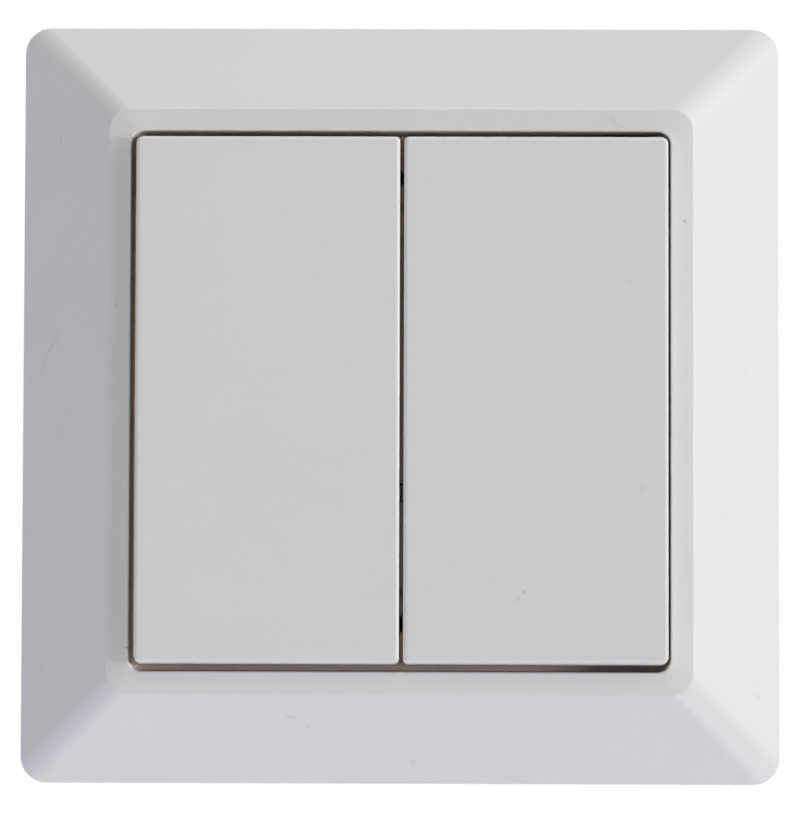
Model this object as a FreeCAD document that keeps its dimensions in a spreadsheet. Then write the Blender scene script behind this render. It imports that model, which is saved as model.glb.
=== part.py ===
import FreeCAD, Part
import math
import os
import re

import Sketcher

# Wireless remote wall switch: a square frame clamped on a wall plate, a battery transmitter
# in the middle of the plate, and two rockers side by side that press two switches each.
# X runs to the right and Z up. The wall is the plane Y = 0 and the room lies towards -Y,
# so a depth below is a distance from the wall into the room.

# Driving sizes in millimetres
SIZES = [
    # Frame
    ("frame_side", 80.0, "outer side of the square frame"),
    ("frame_corner", 2.75, "corner radius of the frame's outline"),
    ("frame_wall", 1.8, "wall of the frame at its rim"),
    ("wall_gap", 0.3, "air between the frame's rim and the wall"),
    ("rim_height", 1.6, "straight side of the rim below the bevel"),
    ("rim_edge", 0.3, "rounding between the rim and the bevel"),
    ("opening_side", 55.8, "side of the opening for the rockers"),
    ("opening_corner", 1.4, "corner radius of the opening"),
    ("opening_edge", 0.25, "rounding of the opening's edge"),
    ("band_width", 2.55, "nearly flat band around the opening"),
    ("band_corner", 2.5, "corner radius where the bevel meets the band"),
    ("band_rise", 0.4, "rise of the band towards the opening"),
    ("band_edge", 0.5, "rounding between the bevel and the band"),
    ("roof_thick", 1.6, "thickness of the frame behind the band"),
    ("skirt_wall", 1.5, "wall of the skirt around the opening"),
    ("lip_thick", 1.0, "lip at the foot of the skirt, under the clamp ring"),
    ("lip_setback", 0.3, "lip stands back from the inside of the collar"),
    ("rib_offset", 12.0, "distance of the frame's ribs from its centre lines"),
    ("rib_thick", 1.2, "thickness of the frame's ribs"),
    ("rib_lift", 0.6, "air between the ribs and the wall plate"),
    ("rib_root", 0.3, "depth to which a rib grows into its walls"),
    ("frame_drift", 0.155, "play that the frame has taken up to the left"),
    ("frame_sag", 0.13, "play that the frame has taken up downwards"),
    # Wall plate
    ("plate_thick", 1.6, "thickness of the wall plate"),
    ("plate_corner", 4.0, "corner radius of the wall plate"),
    ("plate_gap", 2.7, "gap from the wall plate to the inside of the rim"),
    ("window_corner", 1.5, "corner radius of the plate's window"),
    ("screw_spacing", 60.0, "distance between the wall screws"),
    ("slot_radius", 1.95, "half width of a screw slot"),
    ("slot_length", 7.0, "screw slot from end to end"),
    ("collar_wall", 1.6, "wall of the collar around the transmitter"),
    ("collar_height", 3.8, "height of the collar above the plate"),
    ("collar_corner", 1.5, "inner corner radius of the collar"),
    ("gusset_inset", 4.0, "distance of a gusset from the collar's inner corner"),
    ("gusset_reach", 2.4, "length of a gusset along the plate"),
    ("gusset_height", 2.6, "height of a gusset above the plate"),
    # Clamp ring and snap hooks
    ("ring_thick", 1.4, "thickness of the clamp ring"),
    ("ring_gap", 0.4, "gap between the clamp ring and the opening"),
    ("ring_corner", 1.2, "outer corner radius of the clamp ring"),
    ("hook_offset", 13.0, "distance of a snap hook from the centre line"),
    ("hook_width", 6.0, "width of a snap hook"),
    ("hook_lift", 0.6, "hook's back above the wall plate"),
    ("hook_height", 1.0, "height of a hook's nose"),
    ("hook_reach", 0.9, "reach of a hook's nose from its leg"),
    ("leg_thick", 1.0, "thickness of a hook's leg"),
    ("leg_gap", 0.3, "gap between a leg and the transmitter's case"),
    ("snap_gap", 0.1, "air around a hook in its window"),
    # Transmitter case and cover
    ("module_inset", 5.5, "transmitter stands back from the opening"),
    ("module_corner", 2.0, "corner radius of the transmitter"),
    ("module_lift", 0.4, "air between the transmitter and the wall"),
    ("bay_gap", 1.6, "gap between the transmitter and the collar"),
    ("shoulder", 1.4, "shoulder that rests on the wall plate"),
    ("shoulder_gap", 0.4, "gap between the case and the plate's window"),
    ("case_floor", 0.8, "floor of the case"),
    ("case_wall", 1.2, "wall of the case and the cover"),
    ("cover_thick", 1.2, "front wall of the cover"),
    ("cover_edge", 0.4, "rounding of the cover's front edge"),
    ("split_lift", 1.3, "joint line of case and cover above the board"),
    ("seat_wall", 0.9, "wall of the cover's inner rim, which holds the board"),
    ("seat_gap", 0.1, "gap between the cover's inner rim and the case"),
    ("groove_inset", 1.9, "groove in the cover, from its edge"),
    ("groove_width", 1.0, "width of that groove"),
    ("groove_depth", 0.5, "depth of that groove"),
    ("panel_width", 13.0, "sunk panel in the cover's upper half, across"),
    ("panel_height", 9.6, "sunk panel, upright"),
    ("panel_margin", 2.4, "distance of the panel from the groove above it"),
    ("panel_depth", 0.5, "depth of the sunk panel"),
    # Case screws
    ("pillar_inset", 4.8, "screw pillars from the transmitter's flanks"),
    ("pillar_up", 6.5, "screw pillars from the centre line, upright"),
    ("pillar_radius", 1.9, "radius of a screw pillar"),
    ("screw_radius", 0.9, "radius of a screw's shank"),
    ("screw_gap", 0.1, "gap between a screw and its hole"),
    ("head_radius", 1.6, "radius of a screw's head"),
    ("head_height", 0.9, "height of a screw's head"),
    ("head_recess", 0.2, "head below the back of the case"),
    ("screw_bite", 2.6, "length of a screw in its boss"),
    # Circuit board, coin cell and contacts
    ("board_thick", 0.8, "thickness of the circuit board"),
    ("board_gap", 0.3, "gap between the board and the case"),
    ("board_corner", 1.0, "corner radius of the board"),
    ("cell_radius", 10.0, "radius of the coin cell"),
    ("cell_thick", 3.2, "thickness of the coin cell"),
    ("cell_recess", 0.9, "coin cell below the back of the case"),
    ("cell_edge", 0.4, "rounding of the coin cell's can"),
    ("cap_radius", 8.6, "radius of the coin cell's cap"),
    ("cap_height", 0.4, "height of the coin cell's cap"),
    ("contact_thick", 0.3, "thickness of the contact springs"),
    ("contact_width", 4.8, "width of the contact springs"),
    ("contact_length", 14.0, "length of the contact under the cap"),
    ("contact_foot", 3.0, "foot of the side contact on the board"),
    ("contact_gap", 0.05, "air between the side contact and the can"),
    ("holder_gap", 0.2, "gap between the holder and the coin cell"),
    ("holder_wall", 1.4, "wall of the cell holder"),
    ("claw_thick", 0.45, "thickness of a claw over the cell's edge"),
    ("claw_width", 5.0, "width of a claw"),
    ("claw_reach", 1.0, "reach of a claw over the cell"),
    ("finger_notch", 8.0, "notch in the holder for lifting the cell out"),
    ("hatch_gap", 0.6, "gap between the holder and the case's round hatch"),
    # Switches on the board
    ("switch_side", 6.0, "side of a switch"),
    ("switch_height", 3.5, "height of a switch above the board"),
    ("switch_gap", 0.2, "gap around a switch in the cover"),
    ("switch_inset", 7.4, "distance of a switch from the transmitter's upper or lower side"),
    ("plunger_radius", 1.75, "radius of a plunger"),
    ("plunger_gap", 0.05, "running gap around a plunger"),
    ("plunger_proud", 0.8, "plunger in front of its switch"),
    ("plunger_guide", 1.1, "length of a plunger inside its switch"),
    ("plunger_room", 0.6, "room behind a plunger"),
    ("plunger_edge", 0.2, "rounding of a plunger's tip"),
    # Parts of the radio
    ("chip_side", 5.0, "side of the radio chip"),
    ("chip_height", 0.9, "height of the radio chip"),
    ("chip_drop", 6.0, "radio chip below the top of the aerial"),
    ("crystal_long", 3.2, "length of the crystal"),
    ("crystal_wide", 2.5, "width of the crystal"),
    ("crystal_height", 0.8, "height of the crystal"),
    ("crystal_across", 5.2, "crystal from the centre line, across"),
    ("crystal_up", 7.0, "crystal above the pivot"),
    ("led_side", 1.6, "side of the status lamp"),
    ("led_height", 0.7, "height of the status lamp"),
    ("led_drop", 9.55, "status lamp below the pivot"),
    ("led_hole_radius", 0.95, "radius of the hole over the status lamp"),
    ("wire_radius", 0.4, "radius of the aerial wire"),
    ("wire_span", 16.0, "distance between the aerial's two legs"),
    ("wire_foot", 6.0, "height of the aerial's feet above the pivot"),
    ("wire_inset", 5.4, "top of the aerial from the transmitter's upper side"),
    ("wire_bend", 3.0, "bend radius of the aerial"),
    # Rockers
    ("rocker_proud", 1.5, "rocker face in front of the frame"),
    ("centre_gap", 0.42, "gap between the two rockers"),
    ("side_gap", 0.525, "gap between a rocker and the frame, across"),
    ("end_gap", 0.95, "gap between a rocker's face and the frame, upright"),
    ("face_thick", 1.6, "thickness of a rocker's face"),
    ("rocker_skirt", 3.8, "height of a rocker from its face to its hem"),
    ("rocker_wall", 1.5, "wall of a rocker's skirt"),
    ("rocker_edge", 0.45, "rounding of a rocker's face"),
    ("outer_corner", 1.0, "corner radius of a rocker beside the frame"),
    ("inner_corner", 0.5, "corner radius of a rocker at the central gap"),
    ("relief_lift", 1.2, "inner skirt above the cover"),
    ("relief_gap", 1.1, "relief of the inner skirt past the transmitter"),
    ("stiffener_offset", 6.0, "stiffeners from the rocker's middle"),
    ("stiffener_thick", 1.0, "thickness of a stiffener"),
    ("stiffener_height", 0.8, "height of a stiffener"),
    ("press_radius", 1.0, "radius of the rib that meets a plunger"),
    ("press_height", 1.45, "height of that rib"),
    ("press_length", 6.0, "length of that rib"),
    ("press_gap", 0.05, "air between the rib and the plunger"),
    # Pivot
    ("pivot_drop", 1.1, "pivot axis behind the cover's front"),
    ("pivot_radius", 1.0, "radius of a pivot boss"),
    ("pivot_gap", 0.05, "running gap of an ear on its boss"),
    ("pivot_length", 1.5, "length of a pivot boss"),
    ("ear_radius", 1.9, "radius of a rocker's ear"),
    ("ear_thick", 1.0, "thickness of an ear"),
    ("ear_gap", 0.3, "gap between an ear and the transmitter"),
    ("ear_root", 0.3, "depth to which ears and ribs grow into the face"),
    ("web_half", 0.8, "half the thickness of the web between the rockers"),
    ("pivot_window_up", 2.6, "half height of the ears' windows in the cover"),
    ("pivot_window_across", 4.2, "reach of the ears' windows from the centre"),
    ("web_depth", 2.5, "depth of the web from the cover's front"),
]

# Depths from the wall, built up from the wall plate and the stack of the transmitter
PLATE_FRONT = "plate_thick"
COLLAR_FRONT = "(plate_thick + collar_height)"
LIP_FRONT = f"({COLLAR_FRONT} + lip_thick)"
RING_FRONT = f"({LIP_FRONT} + ring_thick)"
HOOK_BACK = "(plate_thick + hook_lift)"
HOOK_FRONT = f"({HOOK_BACK} + hook_height)"
FLOOR_FRONT = "(module_lift + case_floor)"
SHOULDER_FRONT = "(plate_thick + case_wall)"
CELL_BACK = "(module_lift + cell_recess)"
CAP_BACK = f"({CELL_BACK} + cell_thick - cap_height)"
CELL_FRONT = f"({CELL_BACK} + cell_thick)"
HOLDER_BACK = f"({CELL_BACK} - contact_gap - claw_thick)"
BOARD_BACK = f"({CELL_FRONT} + contact_thick)"
BOARD_FRONT = f"({BOARD_BACK} + board_thick)"
SPLIT = f"({BOARD_FRONT} + split_lift)"
COVER_FRONT = f"({BOARD_FRONT} + switch_height)"
COVER_BACK = f"({COVER_FRONT} - cover_thick)"
PIVOT = f"({COVER_FRONT} - pivot_drop)"
PLUNGER_BACK = f"({COVER_FRONT} - plunger_guide)"
PLUNGER_FRONT = f"({COVER_FRONT} + plunger_proud)"
PRESS_BACK = f"({PLUNGER_FRONT} + press_gap)"
FACE_BACK = f"({PRESS_BACK} + press_height)"
FACE_FRONT = f"({FACE_BACK} + face_thick)"
HEM = f"({FACE_FRONT} - rocker_skirt)"
RELIEF = f"({COVER_FRONT} + relief_lift)"
FRAME_FRONT = f"({FACE_FRONT} - rocker_proud)"
BEVEL_FRONT = f"({FRAME_FRONT} - band_rise)"
RIM_FRONT = "(wall_gap + rim_height)"
CAVITY_FRONT = f"({BEVEL_FRONT} - roof_thick)"
RIB_BACK = "(plate_thick + rib_lift)"
HEAD_FRONT = "(module_lift + head_recess + head_height)"
SCREW_FRONT = f"({BOARD_FRONT} + screw_bite)"

# Sides and half sides across the wall
BAND_SIDE = "(opening_side + 2 * band_width)"
SKIRT_SIDE = "(opening_side + 2 * skirt_wall)"
CAVITY_SIDE = "(frame_side - 2 * frame_wall)"
PLATE_SIDE = f"({CAVITY_SIDE} - 2 * plate_gap)"
MODULE_SIDE = "(opening_side - 2 * module_inset)"
COLLAR_SIDE = f"({MODULE_SIDE} + 2 * bay_gap)"
WINDOW_SIDE = f"({MODULE_SIDE} - 2 * shoulder)"
STEP_SIDE = f"({WINDOW_SIDE} - 2 * shoulder_gap)"
INNER_SIDE = f"({MODULE_SIDE} - 2 * case_wall)"
SEAT_SIDE = f"({INNER_SIDE} - 2 * seat_gap)"
BOARD_SIDE = f"({INNER_SIDE} - 2 * board_gap)"
RING_SIDE = "(opening_side - 2 * ring_gap)"
GUSSET_OFFSET = f"({COLLAR_SIDE} / 2 - gusset_inset)"
PILLAR_ACROSS = f"({MODULE_SIDE} / 2 - pillar_inset)"
SWITCH_ARM = f"({MODULE_SIDE} / 2 - switch_inset)"
WIRE_TOP = f"({MODULE_SIDE} / 2 - wire_inset)"
CHIP_UP = f"({WIRE_TOP} - chip_drop)"
PANEL_TOP = f"({MODULE_SIDE} / 2 - groove_inset - groove_width - panel_margin)"
LEG_NEAR = f"({MODULE_SIDE} / 2 + leg_gap)"
LEG_FAR = f"({LEG_NEAR} + leg_thick)"
COLLAR_MIDDLE = f"({COLLAR_SIDE} / 2 + collar_wall / 2)"
HOLDER_RADIUS = "(cell_radius + holder_gap + holder_wall)"
ROCKER_WIDTH = "((opening_side - 2 * side_gap - centre_gap) / 2)"
ROCKER_MIDDLE = f"((centre_gap + {ROCKER_WIDTH}) / 2)"
ROCKER_HALF = "(opening_side / 2 - end_gap)"

doc = FreeCAD.newDocument("WallSwitch")
sheet = doc.addObject("Spreadsheet::Sheet", "Dims")
for row, (alias, size, meaning) in enumerate(SIZES, start=1):
    sheet.set(f"A{row}", alias)
    sheet.set(f"B{row}", str(size))
    sheet.set(f"C{row}", meaning)
    sheet.setAlias(f"B{row}", alias)
doc.recompute()


def bound(expression):
    """The expression with the sheet's name before each alias in it."""
    return re.sub(r"[a-z]\w*", lambda word: "Dims." + word.group(), expression)


def value(expression):
    return float(sheet.evalExpression(bound(expression)))


def new_body(label):
    body = doc.addObject("PartDesign::Body", label)
    body.Label = label
    return body


def origin_feature(body, role):
    return next(item for item in body.Origin.OriginFeatures if item.Role == role)


def new_sketch(body, name, plane, out):
    """Sketch on an origin plane of the body, moved along the plane's normal."""
    sketch = body.newObject("Sketcher::SketchObject", name)
    sketch.AttachmentSupport = [(origin_feature(body, plane), "")]
    sketch.MapMode = "FlatFace"
    sketch.setExpression("AttachmentOffset.Base.z", bound(out))
    return sketch


def drive(sketch, expression, kind, *points):
    """Add a constraint to the sketch and bind its size to the sheet."""
    index = sketch.addConstraint(Sketcher.Constraint(kind, *points, value(expression)))
    sketch.renameConstraint(index, f"{kind}_{index}")
    sketch.setExpression(f"Constraints.{kind}_{index}", bound(expression))


def fix(sketch, kind, *points):
    sketch.addConstraint(Sketcher.Constraint(kind, *points))


def place(sketch, geometry, point, across, up):
    """Hold a point of the sketch at a place measured from the sketch's origin."""
    drive(sketch, across, "DistanceX", -1, 1, geometry, point)
    drive(sketch, up, "DistanceY", -1, 1, geometry, point)


def vector(across, up):
    return FreeCAD.Vector(across, up, 0)


def circle(radius, across="0", up="0"):
    def draw(sketch):
        centre = vector(value(across), value(up))
        normal = FreeCAD.Vector(0, 0, 1)
        index = sketch.addGeometry(Part.Circle(centre, normal, value(radius)))
        place(sketch, index, 3, across, up)
        drive(sketch, radius, "Radius", index)
    return draw


def polygon(*corners):
    """Closed outline through corners given as pairs of expressions."""
    def draw(sketch):
        points = [vector(value(across), value(up)) for across, up in corners]
        ends = points[1:] + points[:1]
        lines = [sketch.addGeometry(Part.LineSegment(a, b)) for a, b in zip(points, ends)]
        for line, following, (across, up) in zip(lines, lines[1:] + lines[:1], corners):
            place(sketch, line, 1, across, up)
            fix(sketch, "Coincident", line, 2, following, 1)
    return draw


def rectangle(width, height, across="0", up="0"):
    left = f"{across} - {width} / 2"
    right = f"{across} + {width} / 2"
    low = f"{up} - {height} / 2"
    high = f"{up} + {height} / 2"
    return polygon((left, low), (right, low), (right, high), (left, high))


def square(side, corner):
    """Square about the origin with rounded corners."""
    def draw(sketch):
        half = value(side) / 2
        radius = value(corner)
        flat = half - radius
        arcs = []
        lines = []
        for quarter in range(4):
            turn = FreeCAD.Rotation(FreeCAD.Vector(0, 0, 1), 90 * quarter)
            start = turn.multVec(vector(half, -flat))
            end = turn.multVec(vector(half, flat))
            centre = turn.multVec(vector(flat, flat))
            lines.append(sketch.addGeometry(Part.LineSegment(start, end)))
            round_edge = Part.Circle(centre, FreeCAD.Vector(0, 0, 1), radius)
            first = quarter * math.pi / 2
            arc = Part.ArcOfCircle(round_edge, first, first + math.pi / 2)
            arcs.append(sketch.addGeometry(arc))
        for quarter in range(4):
            fix(sketch, "Tangent", lines[quarter], 2, arcs[quarter], 1)
            fix(sketch, "Tangent", arcs[quarter], 2, lines[(quarter + 1) % 4], 1)
            fix(sketch, ("Vertical", "Horizontal")[quarter % 2], lines[quarter])
        for arc in arcs[1:]:
            fix(sketch, "Equal", arcs[0], arc)
        fix(sketch, "Symmetric", lines[0], 1, lines[2], 1, -1, 1)
        drive(sketch, side, "DistanceX", lines[2], 1, lines[0], 1)
        drive(sketch, side, "DistanceY", lines[3], 1, lines[1], 1)
        drive(sketch, corner, "Radius", arcs[0])
    return draw


def slot(length, radius, across, up, upright):
    """Slot with round ends about a centre, upright or lying across."""
    def draw(sketch):
        reach = f"({length} / 2 - {radius})"
        turn = FreeCAD.Rotation(FreeCAD.Vector(0, 0, 1), 90 if upright else 0)
        middle = vector(value(across), value(up))
        size = value(radius)
        ends = []
        sides = []
        for side in (1, -1):
            centre = middle + turn.multVec(vector(side * value(reach), 0))
            start = middle + turn.multVec(vector(side * value(reach), side * size))
            stop = middle + turn.multVec(vector(-side * value(reach), side * size))
            first = turn.Angle - side * math.pi / 2
            round_end = Part.Circle(centre, FreeCAD.Vector(0, 0, 1), size)
            ends.append(sketch.addGeometry(Part.ArcOfCircle(round_end, first, first + math.pi)))
            sides.append(sketch.addGeometry(Part.LineSegment(start, stop)))
        for index in range(2):
            fix(sketch, "Tangent", ends[index], 2, sides[index], 1)
            fix(sketch, "Tangent", sides[index], 2, ends[1 - index], 1)
        drive(sketch, radius, "Radius", ends[0])
        for end, sign in zip(ends, "+-"):
            shifted = f"{up} {sign} {reach}" if upright else f"{across} {sign} {reach}"
            place(sketch, end, 3, across if upright else shifted, shifted if upright else up)
    return draw


def tongue(radius, tip_across, up, root_across):
    """Strip with a half-round end about a centre, running back to its root."""
    def draw(sketch):
        size = value(radius)
        tip = value(tip_across)
        root = value(root_across)
        level = value(up)
        round_end = Part.Circle(vector(tip, level), FreeCAD.Vector(0, 0, 1), size)
        arc = sketch.addGeometry(Part.ArcOfCircle(round_end, -math.pi / 2, math.pi / 2))
        high = sketch.addGeometry(
            Part.LineSegment(vector(tip, level + size), vector(root, level + size)))
        back = sketch.addGeometry(
            Part.LineSegment(vector(root, level + size), vector(root, level - size)))
        low = sketch.addGeometry(
            Part.LineSegment(vector(root, level - size), vector(tip, level - size)))
        fix(sketch, "Tangent", arc, 2, high, 1)
        fix(sketch, "Coincident", high, 2, back, 1)
        fix(sketch, "Coincident", back, 2, low, 1)
        fix(sketch, "Tangent", low, 2, arc, 1)
        fix(sketch, "Horizontal", high)
        fix(sketch, "Vertical", back)
        place(sketch, arc, 3, tip_across, up)
        drive(sketch, radius, "Radius", arc)
        drive(sketch, root_across, "DistanceX", -1, 1, back, 1)
    return draw


def add(body, name, start, end, *shapes, plane="XZ_Plane"):
    """Fill the shapes between two distances along the plane's normal."""
    sketch = new_sketch(body, name + "_outline", plane, start)
    for shape in shapes:
        shape(sketch)
    pad = body.newObject("PartDesign::Pad", name)
    pad.Profile = sketch
    pad.setExpression("Length", bound(f"({end}) - ({start})"))
    return pad


def cut(body, name, start, end, *shapes, plane="XZ_Plane"):
    """Cut the shapes out between two distances along the plane's normal."""
    sketch = new_sketch(body, name + "_outline", plane, end)
    for shape in shapes:
        shape(sketch)
    pocket = body.newObject("PartDesign::Pocket", name)
    pocket.Profile = sketch
    pocket.setExpression("Length", bound(f"({end}) - ({start})"))
    return pocket


def loft(body, name, kind, *sections):
    """Blend from one outline to the next, each given with its depth."""
    sketches = []
    for number, (depth, shape) in enumerate(sections):
        sketch = new_sketch(body, f"{name}_section_{number}", "XZ_Plane", depth)
        shape(sketch)
        sketches.append(sketch)
    blend = body.newObject("PartDesign::" + kind, name)
    blend.Profile = sketches[0]
    blend.Sections = sketches[1:]
    blend.Ruled = True
    return blend


def round_edges(body, name, radius, chosen):
    """Fillet the edges of the body so far that the test picks."""
    doc.recompute()
    base = body.Tip
    names = [f"Edge{i}" for i, edge in enumerate(base.Shape.Edges, start=1) if chosen(edge)]
    fillet = body.newObject("PartDesign::Fillet", name)
    fillet.Base = (base, names)
    fillet.setExpression("Radius", bound(radius))
    return fillet


def at_depth(depth):
    """Test for edges that lie in the plane at that depth."""
    level = -value(depth)

    def chosen(edge):
        box = edge.BoundBox
        return abs(box.YMin - level) < 1e-4 and abs(box.YMax - level) < 1e-4
    return chosen


def around_centre(body, name, features, count):
    """Repeat features evenly around the axis through the middle of the wall plate."""
    pattern = body.newObject("PartDesign::PolarPattern", name)
    pattern.Originals = features
    pattern.Axis = (origin_feature(body, "Y_Axis"), [""])
    pattern.Angle = 360
    pattern.Occurrences = count
    body.Tip = pattern
    return pattern


def four_places(shape, across, up):
    """The same shape at four places that mirror each other in both centre lines."""
    return [shape(f"{side} * {across}", f"{end} * {up}") for side in (-1, 1) for end in (-1, 1)]


def make_wall_plate():
    body = new_body("wall_plate")
    add(body, "plate", "0", PLATE_FRONT,
        square(PLATE_SIDE, "plate_corner"), square(WINDOW_SIDE, "window_corner"))
    collar_outside = square(f"{COLLAR_SIDE} + 2 * collar_wall", "collar_corner + collar_wall")
    add(body, "collar", "0", COLLAR_FRONT, collar_outside, square(COLLAR_SIDE, "collar_corner"))

    foot = f"{COLLAR_SIDE} / 2 + collar_wall / 2"
    outside = f"{COLLAR_SIDE} / 2 + collar_wall"
    gusset = polygon(
        ("0", foot),
        ("0", f"{outside} + gusset_reach"),
        ("-plate_thick", f"{outside} + gusset_reach"),
        ("-plate_thick - gusset_height", outside),
        ("-plate_thick - gusset_height", foot))
    gussets = [
        add(body, f"gusset_{name}", f"{sign} * {GUSSET_OFFSET} - rib_thick / 2",
            f"{sign} * {GUSSET_OFFSET} + rib_thick / 2", gusset, plane="YZ_Plane")
        for name, sign in (("left", -1), ("right", 1))]
    around_centre(body, "gussets", gussets, 4)

    reach = "screw_spacing / 2"
    cut(body, "screw_slots", "0", PLATE_FRONT,
        slot("slot_length", "slot_radius", reach, "0", False),
        slot("slot_length", "slot_radius", f"-{reach}", "0", False),
        slot("slot_length", "slot_radius", "0", reach, True),
        slot("slot_length", "slot_radius", "0", f"-{reach}", True))

    opening = "(hook_width + 2 * snap_gap)"
    through = "(collar_wall + 2 * snap_gap)"
    cut(body, "ring_windows", f"{HOOK_BACK} - snap_gap", f"{HOOK_FRONT} + snap_gap",
        *four_places(lambda x, z: rectangle(opening, through, x, z), "hook_offset", COLLAR_MIDDLE))
    cut(body, "case_windows", f"{HOOK_BACK} - snap_gap", f"{HOOK_FRONT} + snap_gap",
        *four_places(lambda x, z: rectangle(through, opening, x, z), COLLAR_MIDDLE, "hook_offset"))
    return body


def make_outer_frame():
    body = new_body("outer_frame")
    outline = square("frame_side", "frame_corner")
    band_outline = square(BAND_SIDE, "band_corner")
    add(body, "rim", "wall_gap", RIM_FRONT, outline)
    loft(body, "bevel", "AdditiveLoft", (RIM_FRONT, outline), (BEVEL_FRONT, band_outline))
    loft(body, "band", "AdditiveLoft",
         (BEVEL_FRONT, band_outline), (FRAME_FRONT, square("opening_side", "opening_corner")))
    cut(body, "opening", "wall_gap", FRAME_FRONT, square("opening_side", "opening_corner"))
    round_edges(body, "rim_rounding", "rim_edge", at_depth(RIM_FRONT))
    round_edges(body, "band_rounding", "band_edge", at_depth(BEVEL_FRONT))
    round_edges(body, "opening_rounding", "opening_edge", at_depth(FRAME_FRONT))

    loft(body, "cavity", "SubtractiveLoft",
         ("wall_gap", square(CAVITY_SIDE, "frame_corner - frame_wall / 2")),
         (CAVITY_FRONT, square(SKIRT_SIDE, "opening_corner + skirt_wall")))
    skirt_outline = square(SKIRT_SIDE, "opening_corner + skirt_wall")
    add(body, "skirt", COLLAR_FRONT, f"{CAVITY_FRONT} + roof_thick / 2",
        skirt_outline, square("opening_side", "opening_corner"))
    add(body, "lip", COLLAR_FRONT, LIP_FRONT,
        skirt_outline, square(f"{COLLAR_SIDE} + 2 * lip_setback", "collar_corner"))

    slope = f"(({CAVITY_SIDE} - {SKIRT_SIDE}) / 2 / ({CAVITY_FRONT} - wall_gap))"
    wide = f"{CAVITY_SIDE} / 2 - ({RIB_BACK} - wall_gap) * {slope}"
    rib = polygon(
        (f"-{COLLAR_FRONT}", f"{SKIRT_SIDE} / 2 - rib_root"),
        (f"-{RIB_BACK}", f"{SKIRT_SIDE} / 2 + rib_root"),
        (f"-{RIB_BACK}", f"{wide} + rib_root"),
        (f"-{CAVITY_FRONT}", f"{SKIRT_SIDE} / 2 + rib_root"),
        (f"-{CAVITY_FRONT}", f"{SKIRT_SIDE} / 2 - rib_root"))
    ribs = [
        add(body, f"rib_{name}", f"{sign} * rib_offset - rib_thick / 2",
            f"{sign} * rib_offset + rib_thick / 2", rib, plane="YZ_Plane")
        for name, sign in (("left", -1), ("right", 1))]
    around_centre(body, "ribs", ribs, 4)
    body.setExpression("Placement.Base.x", bound("-frame_drift"))
    body.setExpression("Placement.Base.z", bound("-frame_sag"))
    return body


def make_clamp_ring():
    body = new_body("clamp_ring")
    add(body, "ring", LIP_FRONT, RING_FRONT,
        square(RING_SIDE, "ring_corner"), square(COLLAR_SIDE, "collar_corner"))

    def strips(near, far):
        height = f"({far} - {near})"
        middle = f"(({near} + {far}) / 2)"
        return four_places(lambda x, z: rectangle("hook_width", height, x, z), "hook_offset", middle)

    add(body, "tabs", LIP_FRONT, RING_FRONT, *strips(LEG_NEAR, f"({COLLAR_SIDE} / 2 + leg_thick)"))
    add(body, "legs", HOOK_BACK, RING_FRONT, *strips(LEG_NEAR, LEG_FAR))
    add(body, "hooks", HOOK_BACK, HOOK_FRONT, *strips(LEG_NEAR, f"({LEG_FAR} + hook_reach)"))
    return body


def pillar_circles(radius):
    return four_places(lambda x, z: circle(radius, x, z), PILLAR_ACROSS, "pillar_up")


def make_module_case():
    body = new_body("module_case")
    inner = square(INNER_SIDE, "module_corner - case_wall / 2")
    step_inner = square(f"{STEP_SIDE} - 2 * case_wall", "module_corner - case_wall / 2")
    add(body, "step", "module_lift", SHOULDER_FRONT, square(STEP_SIDE, "module_corner"))
    add(body, "tray", PLATE_FRONT, SPLIT, square(MODULE_SIDE, "module_corner"))
    cut(body, "tray_inside", SHOULDER_FRONT, SPLIT, inner)
    cut(body, "step_inside", FLOOR_FRONT, SPLIT, step_inner)
    add(body, "pillars", "module_lift", BOARD_BACK, *pillar_circles("pillar_radius"))
    cut(body, "hatch", "module_lift", FLOOR_FRONT, circle(f"{HOLDER_RADIUS} + hatch_gap"))
    cut(body, "screw_holes", "module_lift", BOARD_BACK, *pillar_circles("screw_radius + screw_gap"))
    cut(body, "head_seats", "module_lift", HEAD_FRONT, *pillar_circles("head_radius + screw_gap"))

    near = f"({MODULE_SIDE} / 2 - case_wall / 2)"
    far = f"({LEG_FAR} + hook_reach)"
    middle = f"(({near} + {far}) / 2)"
    add(body, "latches", HOOK_BACK, HOOK_FRONT, *four_places(
        lambda x, z: rectangle(f"({far} - {near})", "hook_width", x, z), middle, "hook_offset"))
    return body


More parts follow.
